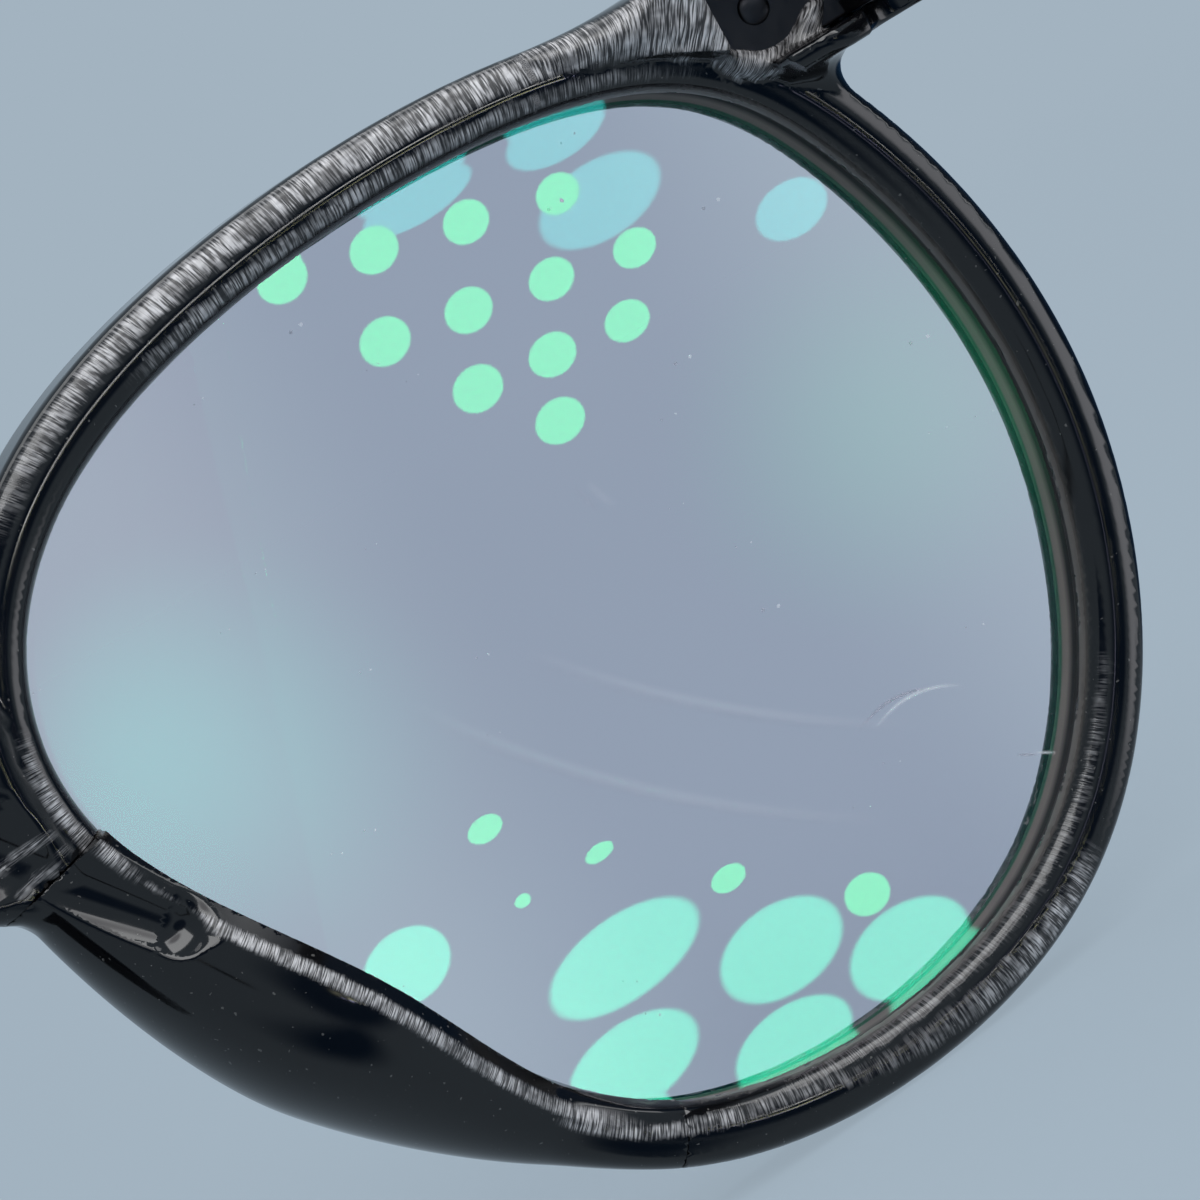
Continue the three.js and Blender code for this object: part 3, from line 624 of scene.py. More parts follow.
def add_node(tree, kind, inputs=None, **settings):
    """Adds a node with its settings; inputs are values, outputs, or nodes that give their first output."""
    node = tree.nodes.new(kind)
    for name, value in settings.items():
        setattr(node, name, value)
    for key, value in (inputs or {}).items():
        if isinstance(value, bpy.types.Node):
            value = next(socket for socket in value.outputs if socket.enabled)
        if isinstance(value, bpy.types.NodeSocket):
            tree.links.new(value, node.inputs[key])
        else:
            node.inputs[key].default_value = value
    return node


def new_material(name):
    """Material with an empty node tree, and that tree."""
    material = bpy.data.materials.new(name)
    material.use_nodes = True
    material.node_tree.nodes.clear()
    return material, material.node_tree


RESIN_IOR = 1.5
# The file's marks: their slant, their depth in mm and how far they are drawn out, along the edge, across it
# and through the rim, and the patches in which the file took hold, for each mm of the same.
FILE_SLANT = math.radians(14)
FILE_DEPTH = 0.06
FILE_STRETCH = (1.0, 1.0, 0.6)
PATCHES_PER_MM = (1.1, 1.2, 1.2)
SMUDGE_SIZE = 3
DUST_SIZE = 0.2


def acetate_material(finish):
    """Black cellulose acetate, tumbled to a gloss, with pale scratches where a file crossed the edges; their
    pale colour is partly painted highlight, for the glints of the lamps in them.
    """
    name = "Black cellulose acetate"
    if name in bpy.data.materials:
        return bpy.data.materials[name]
    material, tree = new_material(name)
    grain, filed, milled = (
        add_node(tree, "ShaderNodeAttribute", attribute_name=label).outputs
        for label in ("grain", "filed", "milled"))
    place = add_node(tree, "ShaderNodeTexCoord").outputs["Object"]
    slant = add_node(tree, "ShaderNodeMapping", {
        "Vector": grain["Vector"], "Rotation": (0, 0, FILE_SLANT), "Scale": (MM / finish.file_mark, 1, 1)},
        vector_type="POINT")
    fine = add_node(tree, "ShaderNodeVectorMath", {0: slant, 1: FILE_STRETCH}, operation="MULTIPLY")
    marks = add_node(tree, "ShaderNodeTexNoise", {"Vector": fine, "Scale": 1.0, "Detail": 1.0})
    coarse = add_node(tree, "ShaderNodeVectorMath", {0: grain["Vector"], 1: PATCHES_PER_MM},
                      operation="MULTIPLY")
    patches = add_node(tree, "ShaderNodeTexNoise", {"Vector": coarse, "Scale": 1.0, "Detail": 2.0})
    cover = add_node(tree, "ShaderNodeMapRange", {
        "Value": patches, "From Min": 0.35, "From Max": 0.6, "To Min": 0.3, "To Max": 1.0})
    depth = add_node(tree, "ShaderNodeMath", {0: cover, 1: filed["Fac"]}, operation="MULTIPLY")
    bump = add_node(tree, "ShaderNodeBump", {"Strength": depth, "Distance": FILE_DEPTH * MM, "Height": marks})
    # Pale ticks of the file's scratches, partly a painted highlight for the glints in them
    scratch_and_glint = add_node(tree, "ShaderNodeMapRange", {
        "Value": marks, "From Min": 0.42, "From Max": 0.62, "To Min": 0.06, "To Max": 0.9})
    pale = add_node(tree, "ShaderNodeMath", {0: scratch_and_glint, 1: depth}, operation="MULTIPLY")
    smudge = add_node(tree, "ShaderNodeTexNoise", {
        "Vector": place, "Scale": 1 / (SMUDGE_SIZE * MM), "Detail": 3.0})
    rough = add_node(tree, "ShaderNodeMapRange", {
        "Value": smudge, "From Min": 0.35, "From Max": 0.7, "To Min": 0.05, "To Max": 0.12})
    for wear, more in ((filed, 0.22), (milled, 0.3)):
        rough = add_node(tree, "ShaderNodeMath", {0: wear["Fac"], 1: more, 2: rough},
                         operation="MULTIPLY_ADD")
    dust = add_node(tree, "ShaderNodeTexNoise", {
        "Vector": place, "Scale": 1 / (DUST_SIZE * MM), "Detail": 0.0})
    specks = add_node(tree, "ShaderNodeMapRange", {
        "Value": dust, "From Min": 0.81, "From Max": 0.84, "To Min": 0.0, "To Max": 0.3})
    # Colour: dust specks, the milled wall's grey, and the pale scratches, which are partly painted highlight
    colour = (*finish.plastic, 1)
    for share, code in ((specks, "#8f8d8a"), (milled["Fac"], "#5f5b57"), (pale, "#d6d4d6")):
        colour = add_node(tree, "ShaderNodeMix", {"Factor": share, "A": colour, "B": (*linear(code), 1)},
                          data_type="RGBA")
    shader = add_node(tree, "ShaderNodeBsdfPrincipled", {
        "Base Color": colour, "Roughness": rough, "IOR": RESIN_IOR, "Normal": bump})
    add_node(tree, "ShaderNodeOutputMaterial", {"Surface": shader})
    return material


# Wiping scratches on a lens: middle beside and above the lens centre, turn in degrees, radius of the bow,
# half length, half width, all in mm, and how pale the scratch is.
SCRATCHES = (
    (4.1, -5.75, -43, 57, 9.5, 0.35, 0.16),
    (-0.9, -6.95, -46, 58, 11.5, 0.4, 0.15),
    (12.0, -10.3, -7, -4.2, 2.3, 0.14, 0.8),
    (15.7, -15.9, -33, 40, 0.5, 0.12, 0.7),
    (4.4, 5.3, -70, 20, 0.9, 0.3, 0.12),
)
DUST_PER_MM = 2.2
# Middle of the lens's tinted stretch beside the lens centre, and how far to both sides it starts and ends
# to fade, in mm.
TINT_SIDE, TINT_FADE_START, TINT_FADE_END = 4, 5.0, 21.0


def lens_material(finish):
    """Clear cast resin with a green anti-reflection coat, wiped dry often enough to carry hair scratches."""
    material, tree = new_material("Coated lens resin")
    face = add_node(tree, "ShaderNodeAttribute", attribute_name="face").outputs["Vector"]
    flat = add_node(tree, "ShaderNodeVectorMath", {0: face, 1: (1, 1, 0)}, operation="MULTIPLY")
    dust = add_node(tree, "ShaderNodeTexNoise", {"Vector": flat, "Scale": DUST_PER_MM, "Detail": 0.0})
    worn = add_node(tree, "ShaderNodeMapRange", {
        "Value": dust, "From Min": 0.875, "From Max": 0.89, "To Min": 0.0, "To Max": 0.7})
    for side, up, turn, bow, reach, width, strength in SCRATCHES:
        own = add_node(tree, "ShaderNodeMapping", {
            "Vector": face, "Location": (side, up, 0), "Rotation": (0, 0, math.radians(turn))},
            vector_type="TEXTURE")
        along, across = add_node(tree, "ShaderNodeSeparateXYZ", {"Vector": own}).outputs[:2]
        square = add_node(tree, "ShaderNodeMath", {0: along, 1: along}, operation="MULTIPLY")
        off = add_node(tree, "ShaderNodeMath", {0: square, 1: -0.5 / bow, 2: across},
                       operation="MULTIPLY_ADD")
        near = add_node(tree, "ShaderNodeMath", {0: off}, operation="ABSOLUTE")
        line = add_node(tree, "ShaderNodeMapRange", {
            "Value": near, "From Min": 0.0, "From Max": width, "To Min": strength, "To Max": 0.0},
            interpolation_type="SMOOTHSTEP")
        fading = add_node(tree, "ShaderNodeMapRange", {
            "Value": square, "From Min": 0.0, "From Max": reach**2, "To Min": 1.0, "To Max": 0.0})
        worn = add_node(tree, "ShaderNodeMath", {0: line, 1: fading, 2: worn}, operation="MULTIPLY_ADD")
    clear = add_node(tree, "ShaderNodeMapRange", {
        "Value": worn, "From Min": 0.0, "From Max": 1.0, "To Min": 1.0, "To Max": 0.3})
    haze = add_node(tree, "ShaderNodeMath", {0: worn, 1: 0.4}, operation="MULTIPLY")
    beside = add_node(tree, "ShaderNodeSeparateXYZ", {"Vector": face}).outputs["X"]
    off_middle = add_node(tree, "ShaderNodeMath", {0: beside, 1: TINT_SIDE}, operation="SUBTRACT")
    away = add_node(tree, "ShaderNodeMath", {0: off_middle}, operation="ABSOLUTE")
    plain = add_node(tree, "ShaderNodeMapRange", {
        "Value": away, "From Min": TINT_FADE_START, "From Max": TINT_FADE_END, "To Min": 0.0, "To Max": 1.0},
        interpolation_type="SMOOTHSTEP")
    tint = add_node(tree, "ShaderNodeMix", {
        "Factor": plain, "A": (*finish.lens_tint, 1), "B": (*finish.lens_clear, 1)}, data_type="RGBA")
    shader = add_node(tree, "ShaderNodeBsdfPrincipled", {
        "Base Color": tint, "Roughness": haze, "IOR": RESIN_IOR, "Transmission Weight": clear,
        "Specular Tint": (*finish.lens_coat, 1)})
    add_node(tree, "ShaderNodeOutputMaterial", {"Surface": shader})
    return material


GRIT_SIZE = 0.15


def ground_material():
    """Lens edge as the grinding wheel left it, a frosted ring; its colours are painted light: green for the
    coat's reflection and the shade in the rim, a pale band of painted highlight, and painted shade where it
    sits in the groove.
    """
    material, tree = new_material("Ground lens edge")
    place = add_node(tree, "ShaderNodeTexCoord").outputs["Object"]
    grit = add_node(tree, "ShaderNodeTexNoise", {
        "Vector": place, "Scale": 1 / (GRIT_SIZE * MM), "Detail": 3.0})
    face = add_node(tree, "ShaderNodeAttribute", attribute_name="face").outputs["Vector"]
    depth = add_node(tree, "ShaderNodeSeparateXYZ", {"Vector": face}).outputs["Z"]
    # Dark green is painted reflection of the coat and painted shade of the rim round the edge
    colour = add_node(tree, "ShaderNodeMix", {
        "Factor": grit, "A": (*linear("#3a6e56"), 1), "B": (*linear("#4f8069"), 1)}, data_type="RGBA")
    # A pale band of painted highlight on the front of the bevel, then painted shade on the half in the groove
    for start, end, code in ((-0.98, -0.8, "#8a857c"), (-0.5, -0.2, "#2b2927")):
        behind = add_node(tree, "ShaderNodeMapRange", {
            "Value": depth, "From Min": start, "From Max": end, "To Min": 0.0, "To Max": 1.0})
        colour = add_node(tree, "ShaderNodeMix", {"Factor": behind, "A": colour, "B": (*linear(code), 1)},
                          data_type="RGBA")
    shader = add_node(tree, "ShaderNodeBsdfPrincipled", {
        "Base Color": colour, "Roughness": 0.6, "IOR": RESIN_IOR})
    add_node(tree, "ShaderNodeOutputMaterial", {"Surface": shader})
    return material


CLOUD_SIZE = 0.6
CLOUD_ROUGHNESS = 0.08


def metal_material(name, code, rough):
    """Metal with the faint cloud that tumbling leaves on it."""
    if name in bpy.data.materials:
        return bpy.data.materials[name]
    material, tree = new_material(name)
    place = add_node(tree, "ShaderNodeTexCoord").outputs["Object"]
    cloud = add_node(tree, "ShaderNodeTexNoise", {
        "Vector": place, "Scale": 1 / (CLOUD_SIZE * MM), "Detail": 4.0})
    rough = add_node(tree, "ShaderNodeMapRange", {
        "Value": cloud, "From Min": 0.3, "From Max": 0.7,
        "To Min": rough - CLOUD_ROUGHNESS, "To Max": rough + CLOUD_ROUGHNESS})
    shader = add_node(tree, "ShaderNodeBsdfPrincipled", {
        "Base Color": (*linear(code), 1), "Metallic": 1.0, "Roughness": rough})
    add_node(tree, "ShaderNodeOutputMaterial", {"Surface": shader})
    return material


def nickel_material():
    """Nickel silver in a plain dark grey with a dull sheen and no colour of its own, which keeps the hinge
    pocket dark.
    """
    return metal_material("Dark nickel silver", "#3a3a3d", 0.36)


def steel_material():
    """Turned stainless steel, bright where the tool left it smooth."""
    return metal_material("Turned steel", "#a9acb0", 0.25)


# Settings

class FrontSizes(bpy.types.PropertyGroup):
    """Sizes of the front and its nose pads."""
    rim_width: FloatProperty(
        name="Rim width", description="Width of the rim seen from the front", default=3 * MM, unit="LENGTH")
    rim_depth: FloatProperty(
        name="Rim depth", description="Depth of the rim from front to back", default=4.4 * MM, unit="LENGTH")
    edge_round: FloatProperty(
        name="Edge rounding", description="Radius of the rim's back edges", default=0.6 * MM, unit="LENGTH")
    front_round: FloatProperty(
        name="Front rounding", description="Radius of the rim's outer front edge", default=0.9 * MM,
        unit="LENGTH")
    outer_facet: FloatProperty(
        name="Outer facet", description="Width of the filed facet along the rim's outer back edge",
        default=1.5 * MM, unit="LENGTH")
    inner_facet: FloatProperty(
        name="Inner facet", description="Width of the filed facet beside the lens", default=1.05 * MM,
        unit="LENGTH")
    bridge_top: FloatProperty(
        name="Bridge top", description="Height of the bridge over the lens centres", default=13.4 * MM,
        unit="LENGTH")
    bridge_under: FloatProperty(
        name="Bridge arch", description="Height of the arch over the lens centres", default=5.6 * MM,
        unit="LENGTH")
    scoop_radius: FloatProperty(
        name="Scoop radius", description="Radius of the dish over each pad where it starts", default=2.1 * MM,
        unit="LENGTH")
    scoop_end: FloatProperty(
        name="Scoop end", description="Radius of the dish over each pad beside the bridge", default=4.2 * MM,
        unit="LENGTH")
    pad_height: FloatProperty(
        name="Pad height", description="How far a nose pad stands behind the rim", default=4 * MM,
        unit="LENGTH")
    pad_flare: FloatProperty(
        name="Pad flare", description="How far a nose pad reaches towards the nose", default=3.4 * MM,
        unit="LENGTH")


class TempleSizes(bpy.types.PropertyGroup):
    """Sizes of the temples' sections."""
    temple_height: FloatProperty(
        name="Height at the hinge", description="Height of the temple where it meets the front",
        default=6 * MM, unit="LENGTH")
    temple_neck: FloatProperty(
        name="Height at the bend", description="Height of the temple before it hooks down", default=4.6 * MM,
        unit="LENGTH")
    tip_height: FloatProperty(
        name="Tip height", description="Height of the temple's paddle tip", default=6.4 * MM, unit="LENGTH")
    temple_thickness: FloatProperty(
        name="Thickness at the hinge", description="Thickness of the temple where it meets the front",
        default=3.6 * MM, unit="LENGTH")
    tip_thickness: FloatProperty(
        name="Tip thickness", description="Thickness of the temple's tip", default=2.8 * MM, unit="LENGTH")
    rounding: FloatProperty(
        name="Rounding", description="Radius of the temple's long edges", default=0.9 * MM, unit="LENGTH")


class Finishes(bpy.types.PropertyGroup):
    """Colours and surface sizes."""
    plastic: FloatVectorProperty(
        name="Plastic", description="Colour of the front and the temples", subtype="COLOR",
        default=linear("#08080a"), min=0, max=1)
    file_mark: FloatProperty(
        name="File mark", description="Spacing of the file's marks along an edge", default=0.065 * MM,
        unit="LENGTH", precision=6)
    lens_tint: FloatVectorProperty(
        name="Lens tint", description="Colour that light takes in the lens", subtype="COLOR",
        default=linear("#e6e6ee"), min=0, max=1)
    lens_clear: FloatVectorProperty(
        name="Lens sides", description="Colour that light takes beside the tinted middle of the lens",
        subtype="COLOR", default=linear("#fdfeff"), min=0, max=1)
    lens_coat: FloatVectorProperty(
        name="Lens coat", description="Colour of the reflections on the lens", subtype="COLOR",
        default=(0.03, 1.0, 0.55), min=0, max=1)
    backdrop: FloatVectorProperty(
        name="Backdrop", description="Colour of the floor and the space behind it", subtype="COLOR",
        default=linear("#a3b3c0"), min=0, max=1)


# Operators

# Rooms that hold the contoured pieces, from low to high corner, and the size of their cells, in mm
FRONT_ROOM, FRONT_CELL = ((-65.03, -1.97, -25.61), (65.2, 16.0, 25.7)), 0.3
PAD_ROOM, PAD_CELL = ((3.03, -4.02, -25.61), (31.5, 12.0, 9.0)), 0.165
SCREW_ROOM, SCREW_CELL = ((-1.41, -1.43, -2.61), (1.5, 1.5, 3.6)), 0.06


class EYEGLASSES_OT_front(bpy.types.Operator):
    """Make the polished front with its rims, bridge and endpieces"""
    bl_idname = "eyeglasses.front"
    bl_label = "Front"

    def execute(self, context):
        front = FrontForm(context.scene.eyeglasses_front)
        form = front.whole
        places, faces = contoured(form, *FRONT_ROOM, FRONT_CELL)
        normals = corner_normals(form, places, faces)
        values = surface_values(front, form, places)
        material = acetate_material(context.scene.eyeglasses_finish)
        piece = add_piece("polished_front", places, faces, material, values, normals)
        fitted(piece, "front", "black_plastic", "front_frame")
        return {"FINISHED"}


class EYEGLASSES_OT_nose_pads(bpy.types.Operator):
    """Make the two nose pads"""
    bl_idname = "eyeglasses.nose_pads"
    bl_label = "Nose Pads"

    def execute(self, context):
        crest_half, crest_soft, skin, skin_soft, crest_mark_and_glint = 0.16, 0.1, 0.3, 0.2, 0.9
        front = FrontForm(context.scene.eyeglasses_front)
        form = front.pad.whole
        places, faces = contoured(form, *PAD_ROOM, PAD_CELL)
        normals = corner_normals(form, places, faces)
        values = surface_values(front, form, places)
        beside, along = beside_lens(places[:, 0], places[:, 2])
        face, inner = front.pad.faces(places[:, 1] - sag(places[:, 0], places[:, 2]), beside, along)
        # The pad's crest is marked pale like a filed edge, partly a painted highlight along it.
        crest = band(face - inner, -crest_half, crest_half, crest_soft)
        crest = crest * band(np.maximum(face, inner), -skin, skin, skin_soft)
        values["filed"] = np.maximum(values["filed"], crest_mark_and_glint * crest)
        material = acetate_material(context.scene.eyeglasses_finish)
        for side, sign in SIDES.items():
            own_places, own_faces, own_normals = mirrored(places, faces, normals, sign)
            piece = add_piece(f"polished_pad_{side}", own_places, own_faces, material, values, own_normals)
            fitted(piece, "front", "black_plastic", f"nose_pad_{side}")
        return {"FINISHED"}


LENS_CHAMFER = 0.12
LENS_STEPS = 240
LENS_RINGS = 36
LENS_EDGE_STRIPS = 5
LENS_SHARP = math.radians(25)


def lens_rows():
    """Rows from the middle of a lens's front face, over its V edge, to the middle of its back face.

    Each is a share of the way out, a distance beside the lens edge and a depth.
    """
    half = LENS_THICKNESS / 2
    front, back = LENS_SET - half, LENS_SET + half
    edge = [(1, -LENS_SEAT - LENS_CHAMFER, front), (1, -LENS_SEAT, front),
            (1, -LENS_SEAT, LENS_SET - BEVEL_HALF_WIDTH), (1, 0, LENS_SET),
            (1, -LENS_SEAT, LENS_SET + BEVEL_HALF_WIDTH), (1, -LENS_SEAT, back)]
    shares = np.arange(1, LENS_RINGS) / LENS_RINGS
    rows = [(share, -LENS_SEAT - LENS_CHAMFER, front) for share in shares] + edge
    return rows + [(share, -LENS_SEAT, back) for share in shares[::-1]]


def lens_mesh():
    """Places and faces of the left lens, with its two middles as the first and last place."""
    place, run, _ = edge_at(np.arange(LENS_STEPS) * SPANS / LENS_STEPS)
    outward = np.stack([-run[:, 1], run[:, 0]], -1) / np.hypot(run[:, 0], run[:, 1])[:, None]
    rows = lens_rows()
    places = [[LENS_CENTRE, rows[0][2], 0]]
    for share, distance, depth in rows:
        ring = (place + distance * outward) * share
        places += [[LENS_CENTRE + side, depth, up] for side, up in ring]
    places.append([LENS_CENTRE, rows[-1][2], 0])
    places = np.array(places, float)
    places[:, 1] += sag(places[:, 0], places[:, 2])
    last = len(places) - 1
    faces = []
    for at in range(LENS_STEPS):
        after = (at + 1) % LENS_STEPS
        feet = [1 + row * LENS_STEPS for row in range(len(rows))]
        faces.append((0, 1 + at, 1 + after))
        faces += [(foot + at, top + at, top + after, foot + after) for foot, top in zip(feet, feet[1:])]
        faces.append((feet[-1] + at, last, feet[-1] + after))
    return places, faces


class EYEGLASSES_OT_lenses(bpy.types.Operator):
    """Make the two coated lenses"""
    bl_idname = "eyeglasses.lenses"
    bl_label = "Lenses"

    def execute(self, context):
        places, faces = lens_mesh()
        depth = places[:, 1] - sag(places[:, 0], places[:, 2]) - LENS_SET
        values = {"face": np.stack([places[:, 0] - LENS_CENTRE, places[:, 2], depth], -1)}
        coated, ground = lens_material(context.scene.eyeglasses_finish), ground_material()
        # The strips of a step run out over the front face, over the ground edge and back to the middle.
        edge = range(LENS_RINGS, LENS_RINGS + LENS_EDGE_STRIPS)
        per_step = len(faces) // LENS_STEPS
        for side, sign in SIDES.items():
            turned = faces if sign < 0 else [face[::-1] for face in faces]
            piece = add_piece(f"coated_lens_{side}", places * [sign, 1, 1], turned, coated, values)
            piece.data.materials.append(ground)
            for number, polygon in enumerate(piece.data.polygons):
                polygon.material_index = int(number % per_step in edge)
            piece.data.set_sharp_from_angle(angle=LENS_SHARP)
            fitted(piece, "front", "clear_lens", f"lens_{side}")
        return {"FINISHED"}


# Hinges and temples, made about the hinge axis: outwards, back and up

def hinge_place(sign):
    """From a place about the left hinge, in metres, to the left or right hinge as the glasses stand."""
    turn = Matrix(STAND.tolist()).to_4x4()
    mirror = Matrix.Diagonal((sign, 1, 1, 1))
    return Matrix.Translation(MIDDLE * MM) @ turn @ mirror @ Matrix.Translation(HINGE * MM)


def slab(mesh_tool, low, high, bevel):
    """Adds a block with bevelled edges, in mm."""
    made = bmesh.ops.create_cube(mesh_tool, size=1)["verts"]
    for corner in made:
        corner.co = [a + (c + 0.5) * (b - a) for a, b, c in zip(low, high, corner.co)]
    edges = {edge for corner in made for edge in corner.link_edges}
    bmesh.ops.bevel(mesh_tool, geom=list(edges), offset=bevel, segments=3, affect="EDGES", profile=0.5)


def dropped(mesh_tool):
    """Shears what a bmesh holds down along the temple's drop."""
    fall = math.tan(math.radians(TEMPLE_DROP))
    for corner in mesh_tool.verts:
        corner.co.z -= corner.co.y * fall


def mesh_from(mesh_tool, name):
    """Plain mesh in metres from a bmesh in mm."""
    bmesh.ops.scale(mesh_tool, vec=(MM, MM, MM), verts=mesh_tool.verts)
    mesh = bpy.data.meshes.new(name)
    mesh_tool.to_mesh(mesh)
    mesh_tool.free()
    return mesh


def evaluated(name, mesh, modifiers):
    """Plain mesh of a source mesh with modifiers on it; the object that carried them goes again."""
    carrier = linked(name, mesh)
    modifiers(carrier)
    graph = bpy.context.evaluated_depsgraph_get()
    result = bpy.data.meshes.new_from_object(carrier.evaluated_get(graph))
    bpy.data.objects.remove(carrier)
    return result


HINGE_SHARP = math.radians(40)


def hinge_piece(name, mesh, sign):
    """Piece at the left or right hinge from a mesh made about the left one, shaded by its larger faces."""
    mesh = mesh.copy()
    mesh.transform(hinge_place(sign))
    tool = bmesh.new()
    tool.from_mesh(mesh)
    bmesh.ops.recalc_face_normals(tool, faces=tool.faces)
    tool.to_mesh(mesh)
    tool.free()
    mesh.shade_smooth()
    mesh.set_sharp_from_angle(angle=HINGE_SHARP)

    def weighted(carrier):
        carrier.modifiers.new("shading", "WEIGHTED_NORMAL").keep_sharp = True

    piece = linked(name, evaluated(name + "_source", mesh, weighted))
    piece.data.name = name
    return piece


def new_tree(name, sockets):
    """Geometry node tree with its group input and the identifiers of its named inputs."""
    tree = bpy.data.node_groups.new(name, "GeometryNodeTree")
    identifiers = {}
    for label, kind in sockets.items():
        identifiers[label] = tree.interface.new_socket(label, in_out="INPUT", socket_type=kind).identifier
    tree.interface.new_socket("Geometry", in_out="OUTPUT", socket_type="NodeSocketGeometry")
    return tree, add_node(tree, "NodeGroupInput").outputs, identifiers


def end_tree(tree, geometry, material):
    """Ends a tree in real faces with a material."""
    real = add_node(tree, "GeometryNodeRealizeInstances", {"Geometry": geometry})
    faced = add_node(tree, "GeometryNodeSetMaterial", {"Geometry": real, "Material": material})
    add_node(tree, "NodeGroupOutput", {"Geometry": faced})


def grown(name, mesh, tree, identifiers, inputs):
    """Mesh that a node tree makes of a source mesh."""
    def modifiers(carrier):
        nodes = carrier.modifiers.new("nodes", "NODES")
        nodes.node_group = tree
        for label, value in inputs.items():
            nodes[identifiers[label]] = value
        carrier.update_tag()

    return evaluated(name, mesh, modifiers)


def knuckle_tree():
    """A leaf's plate with a row of rolled knuckles, each a ring of rounded section."""
    tree, given, identifiers = new_tree("Knuckled leaf", {
        "Geometry": "NodeSocketGeometry", "Count": "NodeSocketInt", "Start": "NodeSocketVector",
        "Spacing": "NodeSocketVector", "Radius": "NodeSocketFloat", "Wall": "NodeSocketFloat",
        "Height": "NodeSocketFloat", "Rounding": "NodeSocketFloat", "Material": "NodeSocketMaterial"})
    half = add_node(tree, "ShaderNodeMath", {0: given["Wall"], 1: 0.5}, operation="MULTIPLY")
    middle = add_node(tree, "ShaderNodeMath", {0: given["Radius"], 1: half}, operation="SUBTRACT")
    rail = add_node(tree, "GeometryNodeCurvePrimitiveCircle", {"Resolution": 64, "Radius": middle})
    section = add_node(tree, "GeometryNodeCurvePrimitiveQuadrilateral", {
        "Width": given["Wall"], "Height": given["Height"]})
    filleted = add_node(tree, "GeometryNodeFilletCurve", {
        "Curve": section, "Radius": given["Rounding"], "Count": 4}, mode="POLY")
    roll = add_node(tree, "GeometryNodeCurveToMesh", {"Curve": rail, "Profile Curve": filleted})
    row = add_node(tree, "GeometryNodeMeshLine", {
        "Count": given["Count"], "Start Location": given["Start"], "Offset": given["Spacing"]})
    rolls = add_node(tree, "GeometryNodeInstanceOnPoints", {"Points": row, "Instance": roll})
    leaf = add_node(tree, "GeometryNodeJoinGeometry", {"Geometry": given["Geometry"]})
    tree.links.new(rolls.outputs[0], leaf.inputs["Geometry"])
    end_tree(tree, leaf, given["Material"])
    return tree, identifiers


def leaf_mesh(name, plate, material, first, count):
    """A hinge leaf from its plate, the number of its lowest knuckle and how many it has."""
    tree, identifiers = knuckle_tree()
    foot = first * KNUCKLE_PITCH - HINGE_HALF_HEIGHT + KNUCKLE_HEIGHT / 2
    bore = SCREW_RADIUS + SCREW_PLAY
    return grown(name, plate, tree, identifiers, {
        "Count": count, "Start": (0, 0, foot * MM), "Spacing": (0, 0, 2 * KNUCKLE_PITCH * MM),
        "Radius": KNUCKLE_RADIUS * MM, "Wall": (KNUCKLE_RADIUS - bore) * MM, "Height": KNUCKLE_HEIGHT * MM,
        "Rounding": KNUCKLE_ROUND * MM, "Material": material})


def add_rivets(tool, centres, axis, height):
    """Adds domed rivet heads that lie on a plate, each a small turned cap."""
    turn = Vector((0, 0, 1)).rotation_difference(Vector(axis)).to_matrix().to_4x4()
    for centre in centres:
        cap = bmesh.ops.create_uvsphere(tool, u_segments=24, v_segments=12, radius=RIVET_RADIUS)["verts"]
        bmesh.ops.scale(tool, vec=(1, 1, height / RIVET_RADIUS), verts=cap)
        bmesh.ops.transform(tool, matrix=Matrix.Translation(centre) @ turn, verts=cap)


def front_plate():
    """Plate of the front leaf with the necks of its knuckles and its two rivets."""
    rivet_height, neck_top = 0.25, 0.1
    tool = bmesh.new()
    back = -LEAF_DEPTH
    slab(tool, (-FRONT_LEAF_LENGTH, back - LEAF_THICKNESS, -HINGE_HALF_HEIGHT),
         (KNUCKLE_RADIUS, back, HINGE_HALF_HEIGHT), LEAF_BEVEL)
    add_rivets(tool, [(along, back, 0) for along in FRONT_RIVETS], (0, 1, 0), rivet_height)
    bmesh.ops.rotate(tool, cent=(0, 0, 0), matrix=Matrix.Rotation(leaf_slope(), 3, "Z"), verts=tool.verts)
    for number in range(0, KNUCKLES, 2):
        foot = number * KNUCKLE_PITCH - HINGE_HALF_HEIGHT
        slab(tool, (-KNUCKLE_RADIUS, back - LEAF_THICKNESS / 2, foot),
             (-SCREW_RADIUS - NECK_GAP, neck_top, foot + KNUCKLE_HEIGHT), NECK_BEVEL)
    return mesh_from(tool, "front_plate")


def temple_plate():
    """Plate of the temple leaf, let into the temple's inner side, with the necks of its knuckles."""
    rivet_height, neck_start, neck_lap = 0.22, 0.3, 0.6
    tool = bmesh.new()
    slab(tool, (HINGE_INSET, LEAF_DEPTH, -HINGE_HALF_HEIGHT),
         (HINGE_INSET + LEAF_THICKNESS, TEMPLE_LEAF_LENGTH, HINGE_HALF_HEIGHT), LEAF_BEVEL)
    add_rivets(tool, [(HINGE_INSET, along, 0) for along in TEMPLE_RIVETS], (-1, 0, 0), rivet_height)
    dropped(tool)
    for number in range(1, KNUCKLES, 2):
        foot = number * KNUCKLE_PITCH - HINGE_HALF_HEIGHT
        slab(tool, (SCREW_RADIUS + NECK_GAP, neck_start, foot),
             (HINGE_INSET + LEAF_THICKNESS / 2, LEAF_DEPTH + neck_lap, foot + KNUCKLE_HEIGHT), NECK_BEVEL)
    return mesh_from(tool, "temple_plate")


